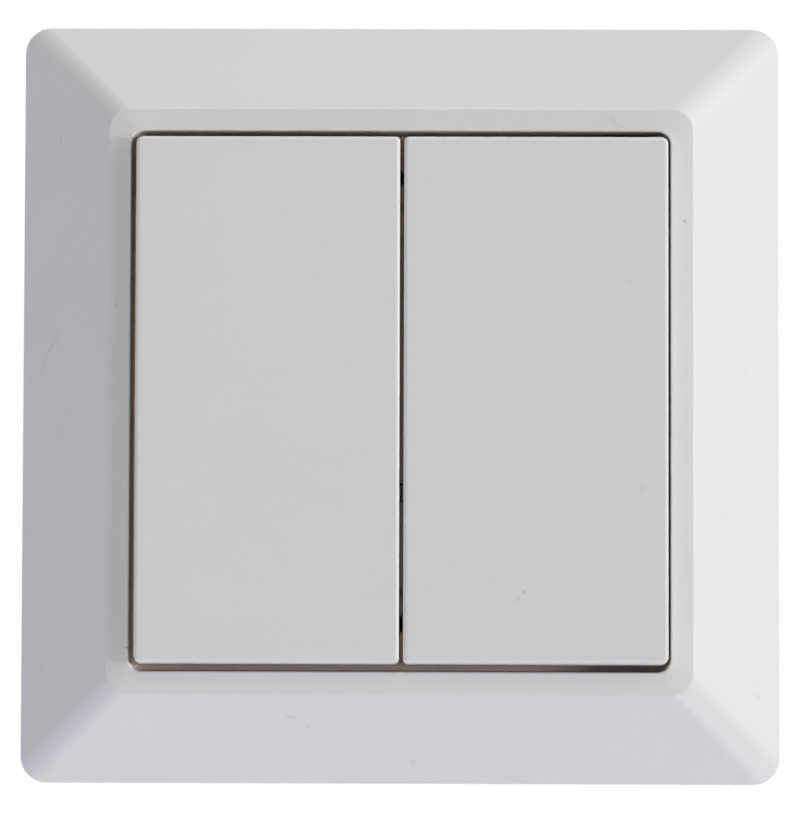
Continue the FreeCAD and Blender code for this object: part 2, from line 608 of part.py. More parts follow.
def make_module_cover():
    body = new_body("module_cover")
    add(body, "lid", SPLIT, COVER_FRONT, square(MODULE_SIDE, "module_corner"))
    round_edges(body, "lid_rounding", "cover_edge", at_depth(COVER_FRONT))
    cut(body, "lid_inside", SPLIT, COVER_BACK, square(INNER_SIDE, "module_corner - case_wall / 2"))
    inside = f"({COVER_BACK} + cover_thick / 2)"
    add(body, "seat", BOARD_FRONT, inside,
        square(SEAT_SIDE, "module_corner - case_wall / 2"),
        square(f"{SEAT_SIDE} - 2 * seat_wall", "board_corner"))
    add(body, "bosses", BOARD_FRONT, inside, *pillar_circles("pillar_radius"))
    cut(body, "pilot_holes", BOARD_FRONT, f"({SCREW_FRONT} + screw_gap)",
        *pillar_circles("screw_radius + screw_gap"))

    groove_side = f"({MODULE_SIDE} - 2 * groove_inset)"
    cut(body, "groove", f"({COVER_FRONT} - groove_depth)", COVER_FRONT,
        square(groove_side, "module_corner"),
        square(f"({groove_side} - 2 * groove_width)", "module_corner"))
    cut(body, "panel", f"({COVER_FRONT} - panel_depth)", COVER_FRONT,
        rectangle("panel_width", "panel_height", "0", f"({PANEL_TOP} - panel_height / 2)"))
    window = "(switch_side + 2 * switch_gap)"
    cut(body, "switch_windows", COVER_BACK, COVER_FRONT, *four_places(
        lambda x, z: rectangle(window, window, x, z), ROCKER_MIDDLE, SWITCH_ARM))
    cut(body, "lamp_hole", COVER_BACK, COVER_FRONT, circle("led_hole_radius", "0", "-led_drop"))

    ear_window = rectangle("2 * pivot_window_across", "2 * pivot_window_up")
    cut(body, "ear_window", COVER_BACK, COVER_FRONT, ear_window)
    add(body, "web", f"({COVER_FRONT} - web_depth)", COVER_FRONT,
        rectangle("2 * web_half", "2 * pivot_window_up + 2 * web_half"))
    pin = circle("pivot_radius", f"-{PIVOT}")
    reach = "(web_half + pivot_length)"
    add(body, "web_bosses", f"-{reach}", reach, pin, plane="YZ_Plane")
    flank = f"({MODULE_SIDE} / 2)"
    add(body, "left_boss", f"-{flank} - pivot_length", f"case_wall / 2 - {flank}", pin,
        plane="YZ_Plane")
    add(body, "right_boss", f"{flank} - case_wall / 2", f"{flank} + pivot_length", pin,
        plane="YZ_Plane")
    return body


def make_circuit_board():
    body = new_body("circuit_board")
    add(body, "board", BOARD_BACK, BOARD_FRONT,
        square(BOARD_SIDE, "board_corner"), *pillar_circles("screw_radius + 2 * screw_gap"))
    return body


def make_cell_holder():
    body = new_body("cell_holder")
    bore = "(cell_radius + holder_gap)"
    add(body, "wall", HOLDER_BACK, BOARD_BACK, circle(HOLDER_RADIUS), circle(bore))
    claw = add(body, "claw", HOLDER_BACK, f"({HOLDER_BACK} + claw_thick)", rectangle(
        "claw_width", "(claw_reach + holder_gap + holder_wall / 2)",
        "0", f"({bore} - (claw_reach + holder_gap - holder_wall / 2) / 2)"))
    around_centre(body, "claws", [claw], 3)
    notch_middle = f"-({bore} + holder_wall / 2)"
    cut(body, "finger_notch", HOLDER_BACK, CAP_BACK, rectangle(
        "finger_notch", "2 * holder_wall", "0", notch_middle))
    cut(body, "contact_notch", CELL_BACK, BOARD_BACK, rectangle(
        "3 * holder_wall", "(contact_width + 2 * holder_gap)", f"({bore} + holder_wall / 2)", "0"))
    return body


def make_coin_cell():
    body = new_body("coin_cell")
    add(body, "can", CELL_BACK, CAP_BACK, circle("cell_radius"))
    round_edges(body, "can_rounding", "cell_edge", lambda edge: True)
    add(body, "cap", CAP_BACK, CELL_FRONT, circle("cap_radius"))
    return body


def make_contacts():
    negative = new_body("cell_contact_negative")
    add(negative, "leaf", CELL_FRONT, BOARD_BACK, rectangle("contact_length", "contact_width"))

    positive = new_body("cell_contact_positive")
    near = "(cell_radius + contact_gap)"
    add(positive, "spring", f"({CELL_BACK} + holder_gap)", BOARD_BACK, rectangle(
        "contact_thick", "contact_width", f"({near} + contact_thick / 2)", "0"))
    add(positive, "foot", f"({BOARD_BACK} - contact_thick)", BOARD_BACK, rectangle(
        "contact_foot", "contact_width", f"({near} + contact_foot / 2)", "0"))
    return [negative, positive]


def make_switch(name, side, end):
    across = f"{side} * {ROCKER_MIDDLE}"
    up = f"{end} * {SWITCH_ARM}"
    housing = new_body("switch_body_" + name)
    add(housing, "housing", BOARD_FRONT, COVER_FRONT,
        rectangle("switch_side", "switch_side", across, up))
    cut(housing, "bore", f"({PLUNGER_BACK} - plunger_room)", COVER_FRONT,
        circle("plunger_radius + plunger_gap", across, up))

    plunger = new_body("switch_plunger_" + name)
    add(plunger, "stem", PLUNGER_BACK, PLUNGER_FRONT, circle("plunger_radius", across, up))
    round_edges(plunger, "stem_rounding", "plunger_edge", at_depth(PLUNGER_FRONT))
    return [housing, plunger]


def make_radio_parts():
    chip = new_body("radio_chip")
    add(chip, "package", BOARD_FRONT, f"({BOARD_FRONT} + chip_height)",
        rectangle("chip_side", "chip_side", "0", CHIP_UP))
    crystal = new_body("crystal")
    add(crystal, "can", BOARD_FRONT, f"({BOARD_FRONT} + crystal_height)",
        rectangle("crystal_wide", "crystal_long", "crystal_across", "crystal_up"))
    lamp = new_body("status_led")
    add(lamp, "package", BOARD_FRONT, f"({BOARD_FRONT} + led_height)",
        rectangle("led_side", "led_side", "0", "-led_drop"))
    return [chip, crystal, lamp]


def make_antenna_wire():
    """Aerial: a wire bent into an arch that lies on the board."""
    body = new_body("antenna_wire")
    level = f"({BOARD_FRONT} + wire_radius)"
    half = value("wire_span") / 2
    foot = value("wire_foot")
    top = value(WIRE_TOP)
    bend = value("wire_bend")
    path = new_sketch(body, "arch", "XZ_Plane", level)
    normal = FreeCAD.Vector(0, 0, 1)
    left = path.addGeometry(Part.LineSegment(vector(-half, foot), vector(-half, top - bend)))
    left_bend = path.addGeometry(Part.ArcOfCircle(
        Part.Circle(vector(bend - half, top - bend), normal, bend), math.pi / 2, math.pi))
    across = path.addGeometry(Part.LineSegment(vector(bend - half, top), vector(half - bend, top)))
    right_bend = path.addGeometry(Part.ArcOfCircle(
        Part.Circle(vector(half - bend, top - bend), normal, bend), 0, math.pi / 2))
    right = path.addGeometry(Part.LineSegment(vector(half, top - bend), vector(half, foot)))
    fix(path, "Tangent", left, 2, left_bend, 2)
    fix(path, "Tangent", left_bend, 1, across, 1)
    fix(path, "Tangent", across, 2, right_bend, 2)
    fix(path, "Tangent", right_bend, 1, right, 1)
    fix(path, "Horizontal", across)
    fix(path, "Equal", left_bend, right_bend)
    place(path, left, 1, "-wire_span / 2", "wire_foot")
    place(path, right, 2, "wire_span / 2", "wire_foot")
    drive(path, "wire_bend", "Radius", left_bend)
    drive(path, WIRE_TOP, "DistanceY", -1, 1, across, 1)

    section = new_sketch(body, "section", "XY_Plane", "wire_foot")
    circle("wire_radius", "-wire_span / 2", f"-{level}")(section)
    wire = body.newObject("PartDesign::AdditivePipe", "wire")
    wire.Profile = section
    wire.Spine = path
    return body


def make_case_screws():
    """Four screws from the back of the case into the cover, as one group."""
    screws = []
    for side in (-1, 1):
        for end in (-1, 1):
            pieces = []
            for name, radius, start, stop in (
                    ("head", "head_radius", "module_lift + head_recess", HEAD_FRONT),
                    ("shank", "screw_radius", HEAD_FRONT, SCREW_FRONT)):
                piece = doc.addObject("Part::Cylinder", "screw_" + name)
                piece.setExpression("Radius", bound(radius))
                piece.setExpression("Height", bound(f"{stop} - ({start})"))
                piece.Placement.Rotation = FreeCAD.Rotation(FreeCAD.Vector(1, 0, 0), 90)
                piece.setExpression("Placement.Base.x", bound(f"{side} * {PILLAR_ACROSS}"))
                piece.setExpression("Placement.Base.y", bound(f"-({start})"))
                piece.setExpression("Placement.Base.z", bound(f"{end} * pillar_up"))
                pieces.append(piece)
            screw = doc.addObject("Part::Fuse", "screw")
            screw.Base, screw.Tool = pieces
            screws.append(screw)
    group = doc.addObject("Part::Compound", "case_screws")
    group.Label = "case_screws"
    group.Links = screws
    return group


def rocker_profile(sketch):
    """Side view of a rocker: a flat face between two ends that are arcs about the pivot."""
    pivot = value(PIVOT)
    face = value(FACE_FRONT)
    hem = value(HEM)
    half = value(ROCKER_HALF)
    radius = math.hypot(half, face - pivot)
    hem_half = math.sqrt(radius ** 2 - (hem - pivot) ** 2)
    front = sketch.addGeometry(Part.LineSegment(vector(-face, half), vector(-face, -half)))
    back = sketch.addGeometry(Part.LineSegment(vector(-hem, -hem_half), vector(-hem, hem_half)))
    turn = Part.Circle(vector(-pivot, 0), FreeCAD.Vector(0, 0, 1), radius)
    low_hem = math.atan2(hem_half, pivot - hem)
    low_face = math.atan2(half, pivot - face)
    upper = sketch.addGeometry(Part.ArcOfCircle(turn, low_hem, low_face))
    lower = sketch.addGeometry(Part.ArcOfCircle(turn, -low_face, -low_hem))
    fix(sketch, "Coincident", back, 2, upper, 1)
    fix(sketch, "Coincident", upper, 2, front, 1)
    fix(sketch, "Coincident", front, 2, lower, 1)
    fix(sketch, "Coincident", lower, 2, back, 1)
    fix(sketch, "Coincident", upper, 3, lower, 3)
    fix(sketch, "Vertical", back)
    place(sketch, upper, 3, f"-{PIVOT}", "0")
    place(sketch, front, 1, f"-{FACE_FRONT}", ROCKER_HALF)
    place(sketch, front, 2, f"-{FACE_FRONT}", f"-{ROCKER_HALF}")
    drive(sketch, f"-{HEM}", "DistanceX", -1, 1, back, 1)


def make_rocker(name, side):
    body = new_body(name)

    def spread(near, far):
        """Places along X between two distances from the gap's middle, in rising order."""
        return (f"-({far})", f"-({near})") if side < 0 else (near, far)

    def span(label, near, far, shape, make=add):
        start, end = spread(near, far)
        return make(body, label, start, end, shape, plane="YZ_Plane")

    inner_flank = "centre_gap / 2"
    outer_flank = f"centre_gap / 2 + {ROCKER_WIDTH}"
    span("block", inner_flank, outer_flank, rocker_profile)

    def upright_edges(flank):
        level = side * value(flank)

        def chosen(edge):
            box = edge.BoundBox
            flat = abs(box.XMin - level) < 1e-4 and abs(box.XMax - level) < 1e-4
            return flat and isinstance(edge.Curve, Part.Circle)
        return chosen

    round_edges(body, "outer_corners", "outer_corner", upright_edges(outer_flank))
    round_edges(body, "inner_corners", "inner_corner", upright_edges(inner_flank))
    round_edges(body, "face_rounding", "rocker_edge", at_depth(FACE_FRONT))

    middle = f"{side} * {ROCKER_MIDDLE}"
    cut(body, "hollow", HEM, FACE_BACK, rectangle(
        f"({ROCKER_WIDTH} - 2 * rocker_wall)", f"(2 * {ROCKER_HALF} - 2 * rocker_wall)", middle))
    inner_skirt = f"{side} * (centre_gap / 2 + rocker_wall)"
    cut(body, "relief", HEM, RELIEF, rectangle(
        "(2 * rocker_wall)", f"({MODULE_SIDE} + 2 * relief_gap)", inner_skirt))

    root = f"-({FACE_BACK} + ear_root)"
    ear = tongue("ear_radius", f"-{PIVOT}", "0", root)
    hole = circle("pivot_radius + pivot_gap", f"-{PIVOT}")
    for label, base in (("inner", "web_half"), ("outer", f"{MODULE_SIDE} / 2")):
        near = f"{base} + ear_gap"
        far = f"{base} + ear_gap + ear_thick"
        span(f"{label}_ear", near, far, ear)
        span(f"{label}_hole", near, far, hole, make=cut)

    for label, end in (("upper", 1), ("lower", -1)):
        rib = tongue("press_radius", f"-({PRESS_BACK} + press_radius)", f"{end} * {SWITCH_ARM}", root)
        span(f"{label}_press_rib", f"{ROCKER_MIDDLE} - press_length / 2",
             f"{ROCKER_MIDDLE} + press_length / 2", rib)

    stiffeners = [
        rectangle("stiffener_thick", f"(2 * {ROCKER_HALF} - rocker_wall)",
                  f"{middle} {sign} stiffener_offset") for sign in "+-"]
    add(body, "stiffeners", f"({FACE_BACK} - stiffener_height)", f"({FACE_BACK} + ear_root)",
        *stiffeners)
    return body


nodes = [
    make_wall_plate(),
    make_outer_frame(),
    make_clamp_ring(),
    make_module_case(),
    make_module_cover(),
    make_circuit_board(),
    make_cell_holder(),
    make_coin_cell(),
]
nodes += make_contacts()
for switch_name, switch_side, switch_end in (
        ("upper_left", -1, 1), ("lower_left", -1, -1),
        ("upper_right", 1, 1), ("lower_right", 1, -1)):
    nodes += make_switch(switch_name, switch_side, switch_end)
nodes += make_radio_parts()
nodes.append(make_antenna_wire())
nodes.append(make_case_screws())
nodes.append(make_rocker("left_rocker", -1))
nodes.append(make_rocker("right_rocker", 1))
doc.recompute()

for item in doc.Objects:
    if "Invalid" in item.State or "Error" in item.State:
        raise RuntimeError(f"{item.Label} failed: {item.State}")
for node in nodes:
    if node.Shape.isNull() or not node.Shape.isValid():
        raise RuntimeError(f"{node.Label} has no valid shape")

os.makedirs("parts", exist_ok=True)
for node in nodes:
    node.Shape.exportStep(f"parts/{node.Label}.step")
    print(node.Label, len(node.Shape.Solids), "solid", round(node.Shape.Volume, 2), "mm3")
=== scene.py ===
# %% [markdown]
# A wireless wall switch: two white rockers side by side in a bevelled white frame. The packed
# model already holds every solid in its place, so this lesson dresses it. It sets the camera
# and the light, gives each surface its finish and models the pieces that deserve a finer mesh.
# The wall is the plane y = 0 and the room lies towards -y. The switch is measured in millimetres,
# which MM turns into Blender's metres, and what stands around it is measured in metres.

# %% Load the frame
from math import cos, hypot, radians, sin, sqrt

import bmesh
import bpy
from mathutils import Matrix, Vector


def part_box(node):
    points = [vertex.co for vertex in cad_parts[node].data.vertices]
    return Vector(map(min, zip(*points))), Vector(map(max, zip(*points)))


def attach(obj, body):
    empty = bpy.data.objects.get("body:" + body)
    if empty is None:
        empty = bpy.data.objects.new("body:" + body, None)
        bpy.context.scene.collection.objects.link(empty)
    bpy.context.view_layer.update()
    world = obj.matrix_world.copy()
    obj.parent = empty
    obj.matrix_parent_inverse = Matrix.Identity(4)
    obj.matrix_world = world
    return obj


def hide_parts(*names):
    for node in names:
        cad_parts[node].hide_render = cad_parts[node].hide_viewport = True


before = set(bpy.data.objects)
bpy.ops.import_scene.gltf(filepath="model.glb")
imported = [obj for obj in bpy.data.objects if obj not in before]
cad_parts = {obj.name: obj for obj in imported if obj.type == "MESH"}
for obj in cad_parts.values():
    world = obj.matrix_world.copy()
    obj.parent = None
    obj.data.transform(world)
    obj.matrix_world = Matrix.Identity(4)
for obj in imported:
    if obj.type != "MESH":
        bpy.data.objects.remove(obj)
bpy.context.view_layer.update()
MM = 0.001

# %% [markdown]
# The camera stands a forearm's length in front of the switch and a little below its middle,
# so the lower edge comes out slightly longer than the upper one. A long lens from there keeps
# the square nearly square. It could be placed by eye, but here the distance and the angles are
# worked out from how the frame's edges converge, and the camera is turned to look at one point.

# %% Camera
CAMERA_DISTANCE = 345 * MM
CAMERA_ELEVATION = radians(-2.393)
CAMERA_AZIMUTH = radians(0.364)
CAMERA_ROLL = radians(0.17)
AIM = Vector((-0.195, -7.0, -0.754)) * MM
LENS_MM = 145.71


def direction(azimuth, elevation):
    """Unit vector from the switch towards a viewer; azimuth 0 is straight ahead."""
    level = cos(elevation)
    return Vector((sin(azimuth) * level, -cos(azimuth) * level, sin(elevation)))


towards_viewer = direction(CAMERA_AZIMUTH, CAMERA_ELEVATION)
facing = towards_viewer.to_track_quat("Z", "Y").to_matrix().to_4x4()
camera_data = bpy.data.cameras.new("camera")
camera_data.lens = LENS_MM
camera = bpy.data.objects.new("camera", camera_data)
bpy.context.scene.collection.objects.link(camera)
camera.matrix_world = (Matrix.Translation(AIM + towards_viewer * CAMERA_DISTANCE)
                       @ facing @ Matrix.Rotation(CAMERA_ROLL, 4, "Z"))
bpy.context.scene.camera = camera
bpy.context.scene.view_settings.view_transform = "Standard"
print("camera at", [round(place, 4) for place in camera.matrix_world.translation])

# %% [markdown]
# The light comes from far away, because every bevel of the frame has one even tone. Most of it
# stands on the right, like a tall window made of five lamps, so the left bevel is the darkest
# and the rockers shade the band to their left. Broad lamps low on both sides keep the lower
# bevel light, warm ones above, below and to the left shine into the gaps, and one behind lights
# the side to the wall. Each could be dragged into place, but it is easier to balance them when
# each has a bearing in the plane of the wall and a slant away from the line of sight.

# %% Lamps
LAMP_DISTANCE = 2.4
LAMPS = {
    # name: (bearing, slant, width, watts, colour)
    "right_low_lamp": (330, 68, 0.5, 3.6, (1.0, 0.989, 0.981)),
    "right_lamp": (0, 59, 0.3, 8.8, (1.0, 0.985, 0.94)),
    "side_lamp": (0, 68, 0.3, 14.5, (1.0, 0.958, 0.995)),
    "right_high_lamp": (25, 68, 0.5, 9.9, (1.0, 0.995, 0.992)),
    "upper_right_lamp": (50, 70, 0.5, 5.0, (1.0, 0.980, 0.956)),
    "high_lamp": (90, 55, 0.3, 7.6, (1.0, 0.850, 0.680)),
    "top_lamp": (90, 75, 0.3, 14.4, (1.0, 0.957, 0.893)),
    "left_lamp": (180, 75, 0.3, 2.9, (1.0, 0.775, 0.715)),
    "left_low_lamp": (210, 78, 0.9, 9.2, (0.858, 0.855, 1.0)),
    "low_left_lamp": (240, 78, 0.9, 14.0, (0.833, 0.867, 1.0)),
    "below_lamp": (270, 30, 0.5, 5.0, (1.0, 0.778, 0.558)),
    "low_right_lamp": (300, 78, 0.9, 9.9, (1.0, 0.980, 0.992)),
    "back_lamp": (70, 140, 0.9, 12.0, (1.0, 1.0, 1.0)),
}


def add_lamp(name, bearing, slant, width, watts, colour):
    """A square lamp that shines at the switch and isn't seen itself."""
    lamp_data = bpy.data.lights.new(name, "AREA")
    lamp_data.size = width
    lamp_data.energy = watts
    lamp_data.color = colour
    lamp = bpy.data.objects.new(name, lamp_data)
    bpy.context.scene.collection.objects.link(lamp)
    across = Vector((cos(radians(bearing)), 0, sin(radians(bearing))))
    towards = across * sin(radians(slant)) + Vector((0, -cos(radians(slant)), 0))
    lamp.location = towards * LAMP_DISTANCE
    lamp.rotation_euler = towards.to_track_quat("Z", "Y").to_euler()
    lamp.visible_camera = False


for lamp_name, setting in LAMPS.items():
    add_lamp(lamp_name, *setting)
print("lamps", list(LAMPS))

# %% [markdown]
# Around the switch everything is white. A sheet of paper could hang behind it, but that would
# throw its own light back at the switch and flatten it. So the surroundings count as white paper
# only where the camera or a shiny piece looks straight at them, and the light that they throw on
# the switch is a weak bluish glow.

# %% White surroundings
ROOM_GLOW = 0.135
ROOM_COLOUR = (0.40, 0.755, 1.0, 1)
PAPER_GLOW = 1.0
PAPER_WHITE = (1, 1, 1, 1)


def add_node(tree, kind, inputs=None, **settings):
    """Add a node; inputs fill its sockets with values or with other nodes' outputs."""
    made = tree.nodes.new("ShaderNode" + kind)
    for field, choice in settings.items():
        setattr(made, field, choice)
    for socket, content in (inputs or {}).items():
        if isinstance(content, bpy.types.NodeSocket):
            tree.links.new(content, made.inputs[socket])
        else:
            made.inputs[socket].default_value = content
    return made


def reckon(tree, operation, *amounts):
    """What a Math node makes of one or two amounts."""
    return add_node(tree, "Math", dict(enumerate(amounts)), operation=operation).outputs[0]


def show_white(tree, output, lighting, white):
    """Show the white shader to a straight look, and the lighting one to everything else."""
    path = add_node(tree, "LightPath").outputs
    mirrored = reckon(tree, "MAXIMUM", path["Is Glossy Ray"], path["Is Transmission Ray"])
    looked_at = reckon(tree, "MAXIMUM", path["Is Camera Ray"], mirrored)
    mixed = add_node(tree, "MixShader", {
        0: looked_at, 1: lighting.outputs[0], 2: white.outputs[0]})
    add_node(tree, output, {"Surface": mixed.outputs[0]})


world = bpy.data.worlds.new("white_room")
bpy.context.scene.world = world
world.use_nodes = True
room_tree = world.node_tree
room_tree.nodes.clear()
glow = add_node(room_tree, "Background", {"Color": ROOM_COLOUR, "Strength": ROOM_GLOW})
paper = add_node(room_tree, "Background", {"Color": PAPER_WHITE, "Strength": PAPER_GLOW})
show_white(room_tree, "OutputWorld", glow, paper)
print("surroundings", world.name, "with", len(room_tree.nodes), "nodes")

# %% [markdown]
# The floor is plain, matt and pale. A wall switch hangs high, so the floor lies far below it, and
# it is made wide enough for its edge to stay out of sight. It shows white in the same way.

# %% Floor
FLOOR_DROP = 2.6
FLOOR_SIZE = 60.0
FLOOR_TONE = (0.8, 0.8, 0.8, 1)

bpy.ops.object.select_all(action="DESELECT")
bpy.ops.mesh.primitive_plane_add(size=FLOOR_SIZE, location=(0, 0, -FLOOR_DROP))
floor = bpy.context.object
floor.name = "floor"
floor_paint = bpy.data.materials.new("floor_paint")
floor_paint.use_nodes = True
floor_tree = floor_paint.node_tree
floor_tree.nodes.clear()
matt = add_node(floor_tree, "BsdfDiffuse", {"Color": FLOOR_TONE})
shine = add_node(floor_tree, "Emission", {"Color": PAPER_WHITE, "Strength": PAPER_GLOW})
show_white(floor_tree, "OutputMaterial", matt, shine)
floor.data.materials.append(floor_paint)
print("floor", FLOOR_DROP, "m below the switch")

# %% [markdown]
# No surface of the switch is one flat colour: its mould, its tool or its age has left clouds,
# grain or streaks on it. An image could carry all that, but noise in the piece's own space has no
# seams and no resolution. So these tools make clouds of a given size, spread them over a range,
# blend two colours by them or raise them as bump, and each finish is put together from them.

# %% Tools for finishes
CLOUD_LOW = 0.3
CLOUD_HIGH = 0.7


def own_space(tree, kind="POINT", **mapping):
    """The piece's own coordinates in metres, moved or stretched by a Mapping node."""
    place = add_node(tree, "TexCoord").outputs["Object"]
    inputs = {socket.title(): content for socket, content in mapping.items()}
    return add_node(tree, "Mapping", {"Vector": place, **inputs}, vector_type=kind).outputs[0]


def cloud(tree, grain, detail=2.0, stretch=(1, 1, 1)):
    """Cloudy values about a half; grain is the size of one cloud in metres."""
    place = own_space(tree, scale=stretch)
    noise = add_node(tree, "TexNoise", {"Vector": place, "Scale": 1 / grain, "Detail": detail})
    return noise.outputs["Fac"]


def spread(tree, amount, low, high, start=CLOUD_LOW, end=CLOUD_HIGH):
    """Stretch what lies between start and end over low to high, and hold it there."""
    return add_node(tree, "MapRange", {
        "Value": amount, "From Min": start, "From Max": end,
        "To Min": low, "To Max": high}).outputs[0]


def blend(tree, amount, first, second):
    """A colour between the first, at nought, and the second, at one."""
    return add_node(tree, "Mix", {0: amount, 6: first, 7: second}, data_type="RGBA").outputs[2]


def relief(tree, height, depth):
    """Bump whose full height is depth, in metres."""
    return add_node(tree, "Bump", {"Height": height, "Distance": depth}).outputs[0]


def new_finish(name, constants, links):
    """A material; constants are the same all over, links builds what varies."""
    finish = bpy.data.materials.new(name)
    finish.use_nodes = True
    shader = finish.node_tree.nodes["Principled BSDF"]
    for socket, content in constants.items():
        shader.inputs[socket].default_value = content
    for socket, content in links(finish.node_tree).items():
        finish.node_tree.links.new(content, shader.inputs[socket])
    print("finish", name, "with", len(finish.node_tree.nodes), "nodes")
    return finish


print("clouds lie between", CLOUD_LOW, "and", CLOUD_HIGH)

# %% [markdown]
# Handling has left faint specks, two short hair marks and one long scratch on the white plastic.
# They could be cut into the mesh, but they are stains without depth, so each is an ellipsoid
# that darkens what lies inside it, long enough from front to back to go through the sloping
# bevel. On the walls in the gaps the white is painted warmer: a painted glow that stands in for
# the light that seeps through the thin plastic and bounces about there. Those walls are found by
# where they lie: inside the opening's square, and further back than the frame's band.

# %% Marks, and the painted glow in the gaps
# Each mark: across, up, length, width in mm, slope in degrees, strength
FRAME_MARKS = [
    (21.76, 29.05, 1.60, 0.38, 97, 0.13), (22.41, 28.36, 1.30, 0.40, -18, 0.13),
    (-37.74, 3.88, 3.20, 0.52, 73, 0.12), (-36.58, 6.19, 3.70, 0.52, 60, 0.12),
    (-35.93, 27.37, 0.87, 0.47, 88, 0.16), (-37.77, -28.07, 0.50, 0.36, 90, 0.16),
    (-11.46, -32.79, 1.48, 0.36, -14, 0.17), (-9.63, -33.84, 0.78, 0.50, 80, 0.12),
    (37.12, -29.40, 0.55, 0.55, 0, 0.085), (37.41, -30.74, 1.20, 0.45, -35, 0.10),
    (29.18, 18.48, 0.71, 0.49, -20, 0.38), (3.94, 29.10, 0.50, 0.36, 90, 0.14),
    (35.95, 3.23, 0.55, 0.40, 90, 0.10), (1.26, -37.79, 0.87, 0.87, 0, 0.085),
    (-29.52, 9.66, 0.73, 0.73, 0, 0.16), (-28.15, -25.63, 0.42, 0.30, -20, 0.60),
]
RIGHT_MARKS = [
    (12.54, -19.73, 0.75, 0.52, 80, 0.27), (11.98, -20.54, 0.62, 0.46, 60, 0.15),
    (23.38, 11.95, 0.87, 0.87, 0, 0.09), (24.62, -8.99, 1.30, 0.70, 90, 0.09),
]
MARK_DEPTH = 7 * MM
MARK_REACH = 40 * MM
MARK_CORE = 0.4
GAP_HALF_SIDE = 28.1 * MM
GAP_BLEND = 0.1 * MM
GAP_START = -11.3 * MM
GAP_FULL = -10.6 * MM


def mark_amount(tree, across, up, length, width, slope, strength):
    """How dark a mark is here: full in the core of its ellipse, nought outside."""
    local = own_space(tree, "TEXTURE", location=(across * MM, -MARK_DEPTH, up * MM),
                      rotation=(0, -radians(slope), 0),
                      scale=(length / 2 * MM, MARK_REACH, width / 2 * MM))
    away = add_node(tree, "VectorMath", {0: local}, operation="LENGTH").outputs["Value"]
    return spread(tree, away, strength, 0.0, start=MARK_CORE, end=1.0)


def painted_glow_mask(tree):
    """One on the gap walls between frame and rockers, where a warm glow is painted, else nought.
    """
    place = add_node(tree, "SeparateXYZ", {0: own_space(tree)}).outputs
    wings = [reckon(tree, "ABSOLUTE", place[axis]) for axis in ("X", "Z")]
    aside = reckon(tree, "MAXIMUM", *wings)
    within = spread(tree, aside, 1, 0, start=GAP_HALF_SIDE, end=GAP_HALF_SIDE + GAP_BLEND)
    deep = spread(tree, place["Y"], 0, 1, start=GAP_START, end=GAP_FULL)
    return reckon(tree, "MULTIPLY", within, deep)


print("marks", len(FRAME_MARKS), "on the frame and", len(RIGHT_MARKS), "on the right rocker")

# %% [markdown]
# The frame and the rockers are satin white mouldings. Their steel mould was spark eroded, which
# leaves a grain a third of a millimetre wide and a few thousandths deep. That is too fine for
# geometry, so it is bump, and wider clouds vary the gloss and, barely, the tone. Every mark then
# darkens the tone, one after the other. The left rocker has none.

# %% White plastic
WHITE_DULL = (0.796, 0.796, 0.794, 1)
WHITE_CLEAR = (0.804, 0.804, 0.804, 1)
MARK_TONE = (0.30, 0.29, 0.28, 1)
# Painted warm glow for the gap walls, in place of light seeping through the white plastic
PAINTED_GAP_GLOW = (0.88, 0.79, 0.74, 1)
TONE_CLOUD = 9 * MM
GLOSS_CLOUD = 2.5 * MM
WHITE_ROUGH = (0.40, 0.50)
WHITE_GRAIN = 0.33 * MM
WHITE_GRAIN_DEPTH = 0.004 * MM
WHITE_IOR = 1.5


def white_plastic(name, marks):
    """The satin white of a moulding: grain, clouds, painted warm glow in the gaps, marks on top.
    """
    def links(tree):
        clear = spread(tree, cloud(tree, TONE_CLOUD, detail=3.0), 0, 1)
        tone = blend(tree, clear, WHITE_DULL, WHITE_CLEAR)
        # The gap walls take a painted warm glow, standing in for light that seeps through the
        # plastic
        tone = blend(tree, painted_glow_mask(tree), tone, PAINTED_GAP_GLOW)
        for mark in marks:
            tone = blend(tree, mark_amount(tree, *mark), tone, MARK_TONE)
        return {"Base Color": tone,
                "Roughness": spread(tree, cloud(tree, GLOSS_CLOUD, detail=4.0), *WHITE_ROUGH),
                "Normal": relief(tree, cloud(tree, WHITE_GRAIN), WHITE_GRAIN_DEPTH)}
    return new_finish(name, {"IOR": WHITE_IOR}, links)


frame_white = white_plastic("frame_white", FRAME_MARKS)
left_white = white_plastic("left_rocker_white", [])
right_white = white_plastic("right_rocker_white", RIGHT_MARKS)

# %% [markdown]
# What lies behind the rockers was never meant to be seen. The wall plate and the ring are a matt
# beige, the sender's case a much darker warm grey, and the switches and the cell holder are
# black. These plastics differ only in tone, gloss and grain, so one function makes them all.
# Their warm tones tint the light in the gaps.

# %% Plain plastics inside
FLOW_CLOUD = 6 * MM
FLOW_STRETCH = (1, 1, 0.5)
PLASTIC_ROUGH_SPREAD = 0.08
GRAIN_DEPTH_SHARE = 0.03


def inner_plastic(name, dark, light, rough, grain):
    """A plain moulding: flow clouds in its tone, grain in its gloss and its bump."""
    def links(tree):
        flow = spread(tree, cloud(tree, FLOW_CLOUD, detail=3.0, stretch=FLOW_STRETCH), 0, 1)
        eroded = cloud(tree, grain, detail=3.0)
        return {"Base Color": blend(tree, flow, dark, light),
                "Roughness": spread(tree, eroded, rough - PLASTIC_ROUGH_SPREAD,
                                    rough + PLASTIC_ROUGH_SPREAD),
                "Normal": relief(tree, eroded, GRAIN_DEPTH_SHARE * grain)}
    return new_finish(name, {}, links)


